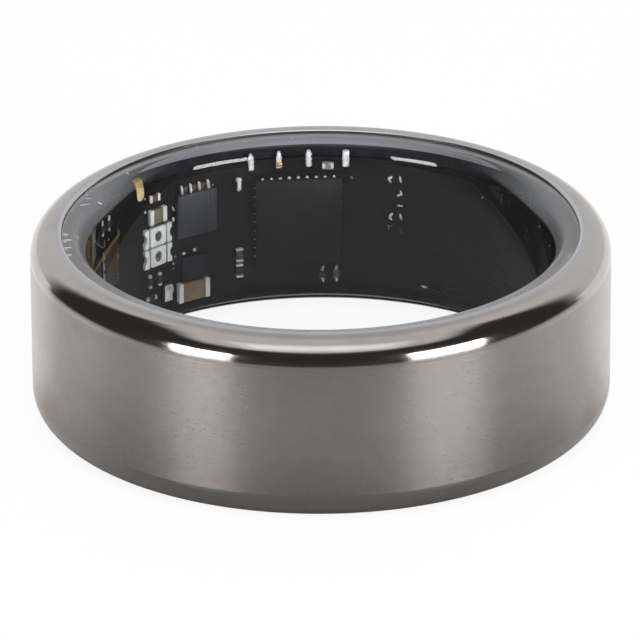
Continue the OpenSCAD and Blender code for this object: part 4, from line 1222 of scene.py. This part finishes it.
def makeFloor(look):
    size, z = look["size"] * mm / 2, look["z"] * mm
    mesh = bpy.data.meshes.new("floor")
    mesh.from_pydata([(-size, -size, z), (size, -size, z), (size, size, z), (-size, size, z)], [],
                     [(0, 1, 2, 3)])
    floor = bpy.data.objects.new("floor", mesh)
    bpy.context.scene.collection.objects.link(floor)
    finish, tree = newTree("floorPaper")
    path = addNode(tree, "ShaderNodeLightPath").outputs
    x, y = objectPlace(tree)[1][:2]
    around = lengthOf(tree, x, y)
    # the white side starts behind a line that runs past the ring and leans back at both ends
    beyond = mathNode(tree, "MAXIMUM", minus(
        tree, mathNode(tree, "ABSOLUTE", x), look["lineX"] * mm), 0.0)
    lean = minus(tree, look["lean"], times(tree, mathNode(tree, "SIGN", x), look["leanMore"]))
    past = minus(tree, y, times(tree, beyond, lean))
    width = plus(tree, times(tree, beyond, look["edgeMore"]), look["edgeMm"] * mm)
    behind = times(tree, ramp(tree, mathNode(tree, "DIVIDE", past, width), *look["edge"]),
                   ramp(tree, around, *(value * mm for value in look["aroundMm"])))
    seen = mathNode(tree, "MAXIMUM", path["Is Camera Ray"], path["Is Transmission Ray"])
    seen = mathNode(tree, "MAXIMUM", seen, times(tree, path["Is Glossy Ray"], behind))
    # painted shade: the tone darkens in front of the ring and far from it, with a painted shadow at
    # its foot, and lightens at its sides and behind it
    front = look["frontY"] * mm
    near = ramp(tree, y, front, look["sideY"] * mm, look["frontPaintedShade"], look["sidePaintedLight"])
    paintedFootShade = ramp(tree, y, front, look["footY"] * mm, look["footShade"], look["sideShade"])
    tone = ramp(tree, lengthOf(tree, times(tree, x, look["squeeze"]), y), look["nearMm"] * mm,
                look["farMm"] * mm, near, look["farPaintedShade"])
    tone = times(tree, tone, ramp(
        tree, around, *(value * mm for value in look["footMm"]), paintedFootShade, 1.0))
    tone = mixValue(tree, behind, tone, look["sidePaintedLight"])
    tone = mixValue(tree, seen, tone, look["whiteMatte"])
    shader = addNode(tree, "ShaderNodeBsdfPrincipled", {
        "Base Color": addNode(tree, "ShaderNodeCombineXYZ", {0: tone, 1: tone, 2: tone}).outputs[0],
        "Roughness": look["rough"],
        "Specular IOR Level": minus(tree, look["gloss"], times(tree, seen, look["gloss"])),
        "Emission Color": (1, 1, 1, 1), "Emission Strength": times(tree, seen, look["whiteGlow"])})
    mesh.materials.append(endWith(finish, tree, shader))


def makeWorld(look):
    world = bpy.data.worlds.new("studioSky")
    bpy.context.scene.world = world
    world.use_nodes = True
    tree = world.node_tree
    tree.nodes.clear()
    way = addNode(tree, "ShaderNodeSeparateXYZ",
                  {0: addNode(tree, "ShaderNodeTexCoord").outputs["Generated"]})
    x, y, z = way.outputs
    degree = 180 / math.pi
    azimuth = times(tree, mathNode(tree, "ARCTAN2", x, times(tree, y, -1.0)), degree)
    off = mathNode(tree, "ABSOLUTE", minus(tree, azimuth, look["openMid"]))
    # white behind the ring and from a height on above it, dark on the camera's side
    behind = ramp(tree, off, look["openHalf"] - look["soft"], look["openHalf"] + look["soft"])
    azimuth = mathNode(tree, "ABSOLUTE", azimuth)
    elevation = times(tree, mathNode(tree, "ARCSINE", z), degree)
    start = ramp(tree, azimuth, *look["topTurn"], look["topFront"], look["topSide"])
    above = ramp(tree, minus(tree, elevation, start), -look["topSoft"], look["topSoft"])
    white = mathNode(tree, "MAXIMUM", behind, above)
    dip = times(tree, ramp(tree, azimuth, *look["dipTurn"]), times(
        tree, ramp(tree, elevation, *look["dipLow"]), ramp(tree, elevation, *look["dipHigh"])))
    level = mixValue(tree, white, look["dark"], look["sky"])
    level = minus(tree, level, times(tree, dip, look["dip"]))
    path = addNode(tree, "ShaderNodeLightPath")
    strength = mixValue(tree, path.outputs["Is Camera Ray"], level, 1.0)
    back = addNode(tree, "ShaderNodeBackground", {"Strength": strength})
    addNode(tree, "ShaderNodeOutputWorld", {"Surface": back.outputs[0]})


def makeLamp(name, azimuth, elevation, distance, size, radiance, glossy=True):
    data = bpy.data.lights.new(name, "AREA")
    data.shape = "RECTANGLE"
    data.size, data.size_y = size[0] * mm, size[1] * mm
    data.energy = radiance * math.pi * size[0] * size[1] * mm * mm
    light = bpy.data.objects.new(name, data)
    bpy.context.scene.collection.objects.link(light)
    a, e = math.radians(azimuth), math.radians(elevation)
    way = Vector((math.sin(a) * math.cos(e), -math.cos(a) * math.cos(e), math.sin(e)))
    light.location = way * distance * mm
    light.rotation_euler = way.to_track_quat("Z", "Y").to_euler()
    light.visible_camera = False
    light.visible_glossy = glossy


# Azimuth, elevation, distance, size and radiance of each lamp
lamps = {
    "leftBox": (-46.5, 7.5, 500, (203, 150), 13.0),
    "rightBox": (49.0, 7.5, 500, (262, 150), 13.0),
    "topBroad": (0, 63, 600, (540, 330), 0.3),
    "topCore": (0, 64, 600, (430, 170), 0.4),
}
fill = (0, 33, 600, (300, 150), 5.0)
shot = {"lens": 424.01, "sensor": 36.0, "shift": (-0.0015, -0.009), "clip": (0.01, 10),
        "spot": (0, -292.53, 127.38), "rollDeg": -0.288}


def makeCamera():
    data = bpy.data.cameras.new("camera")
    data.lens, data.sensor_width = shot["lens"], shot["sensor"]
    data.shift_x, data.shift_y = shot["shift"]
    data.clip_start, data.clip_end = shot["clip"]
    camera = bpy.data.objects.new("camera", data)
    bpy.context.scene.collection.objects.link(camera)
    spot = Vector(shot["spot"]) * mm
    aim = (-spot).to_track_quat("-Z", "Y").to_matrix().to_4x4()
    roll = Matrix.Rotation(math.radians(shot["rollDeg"]), 4, "Z")
    camera.matrix_world = Matrix.Translation(spot) @ aim @ roll
    bpy.context.scene.camera = camera


makeFloor(floorLook)
makeWorld(skyLook)
for name, spec in lamps.items():
    makeLamp(name, *spec)
makeLamp("fill", *fill, glossy=False)
makeCamera()
bpy.context.scene.view_settings.view_transform = "Standard"
print("studio made")
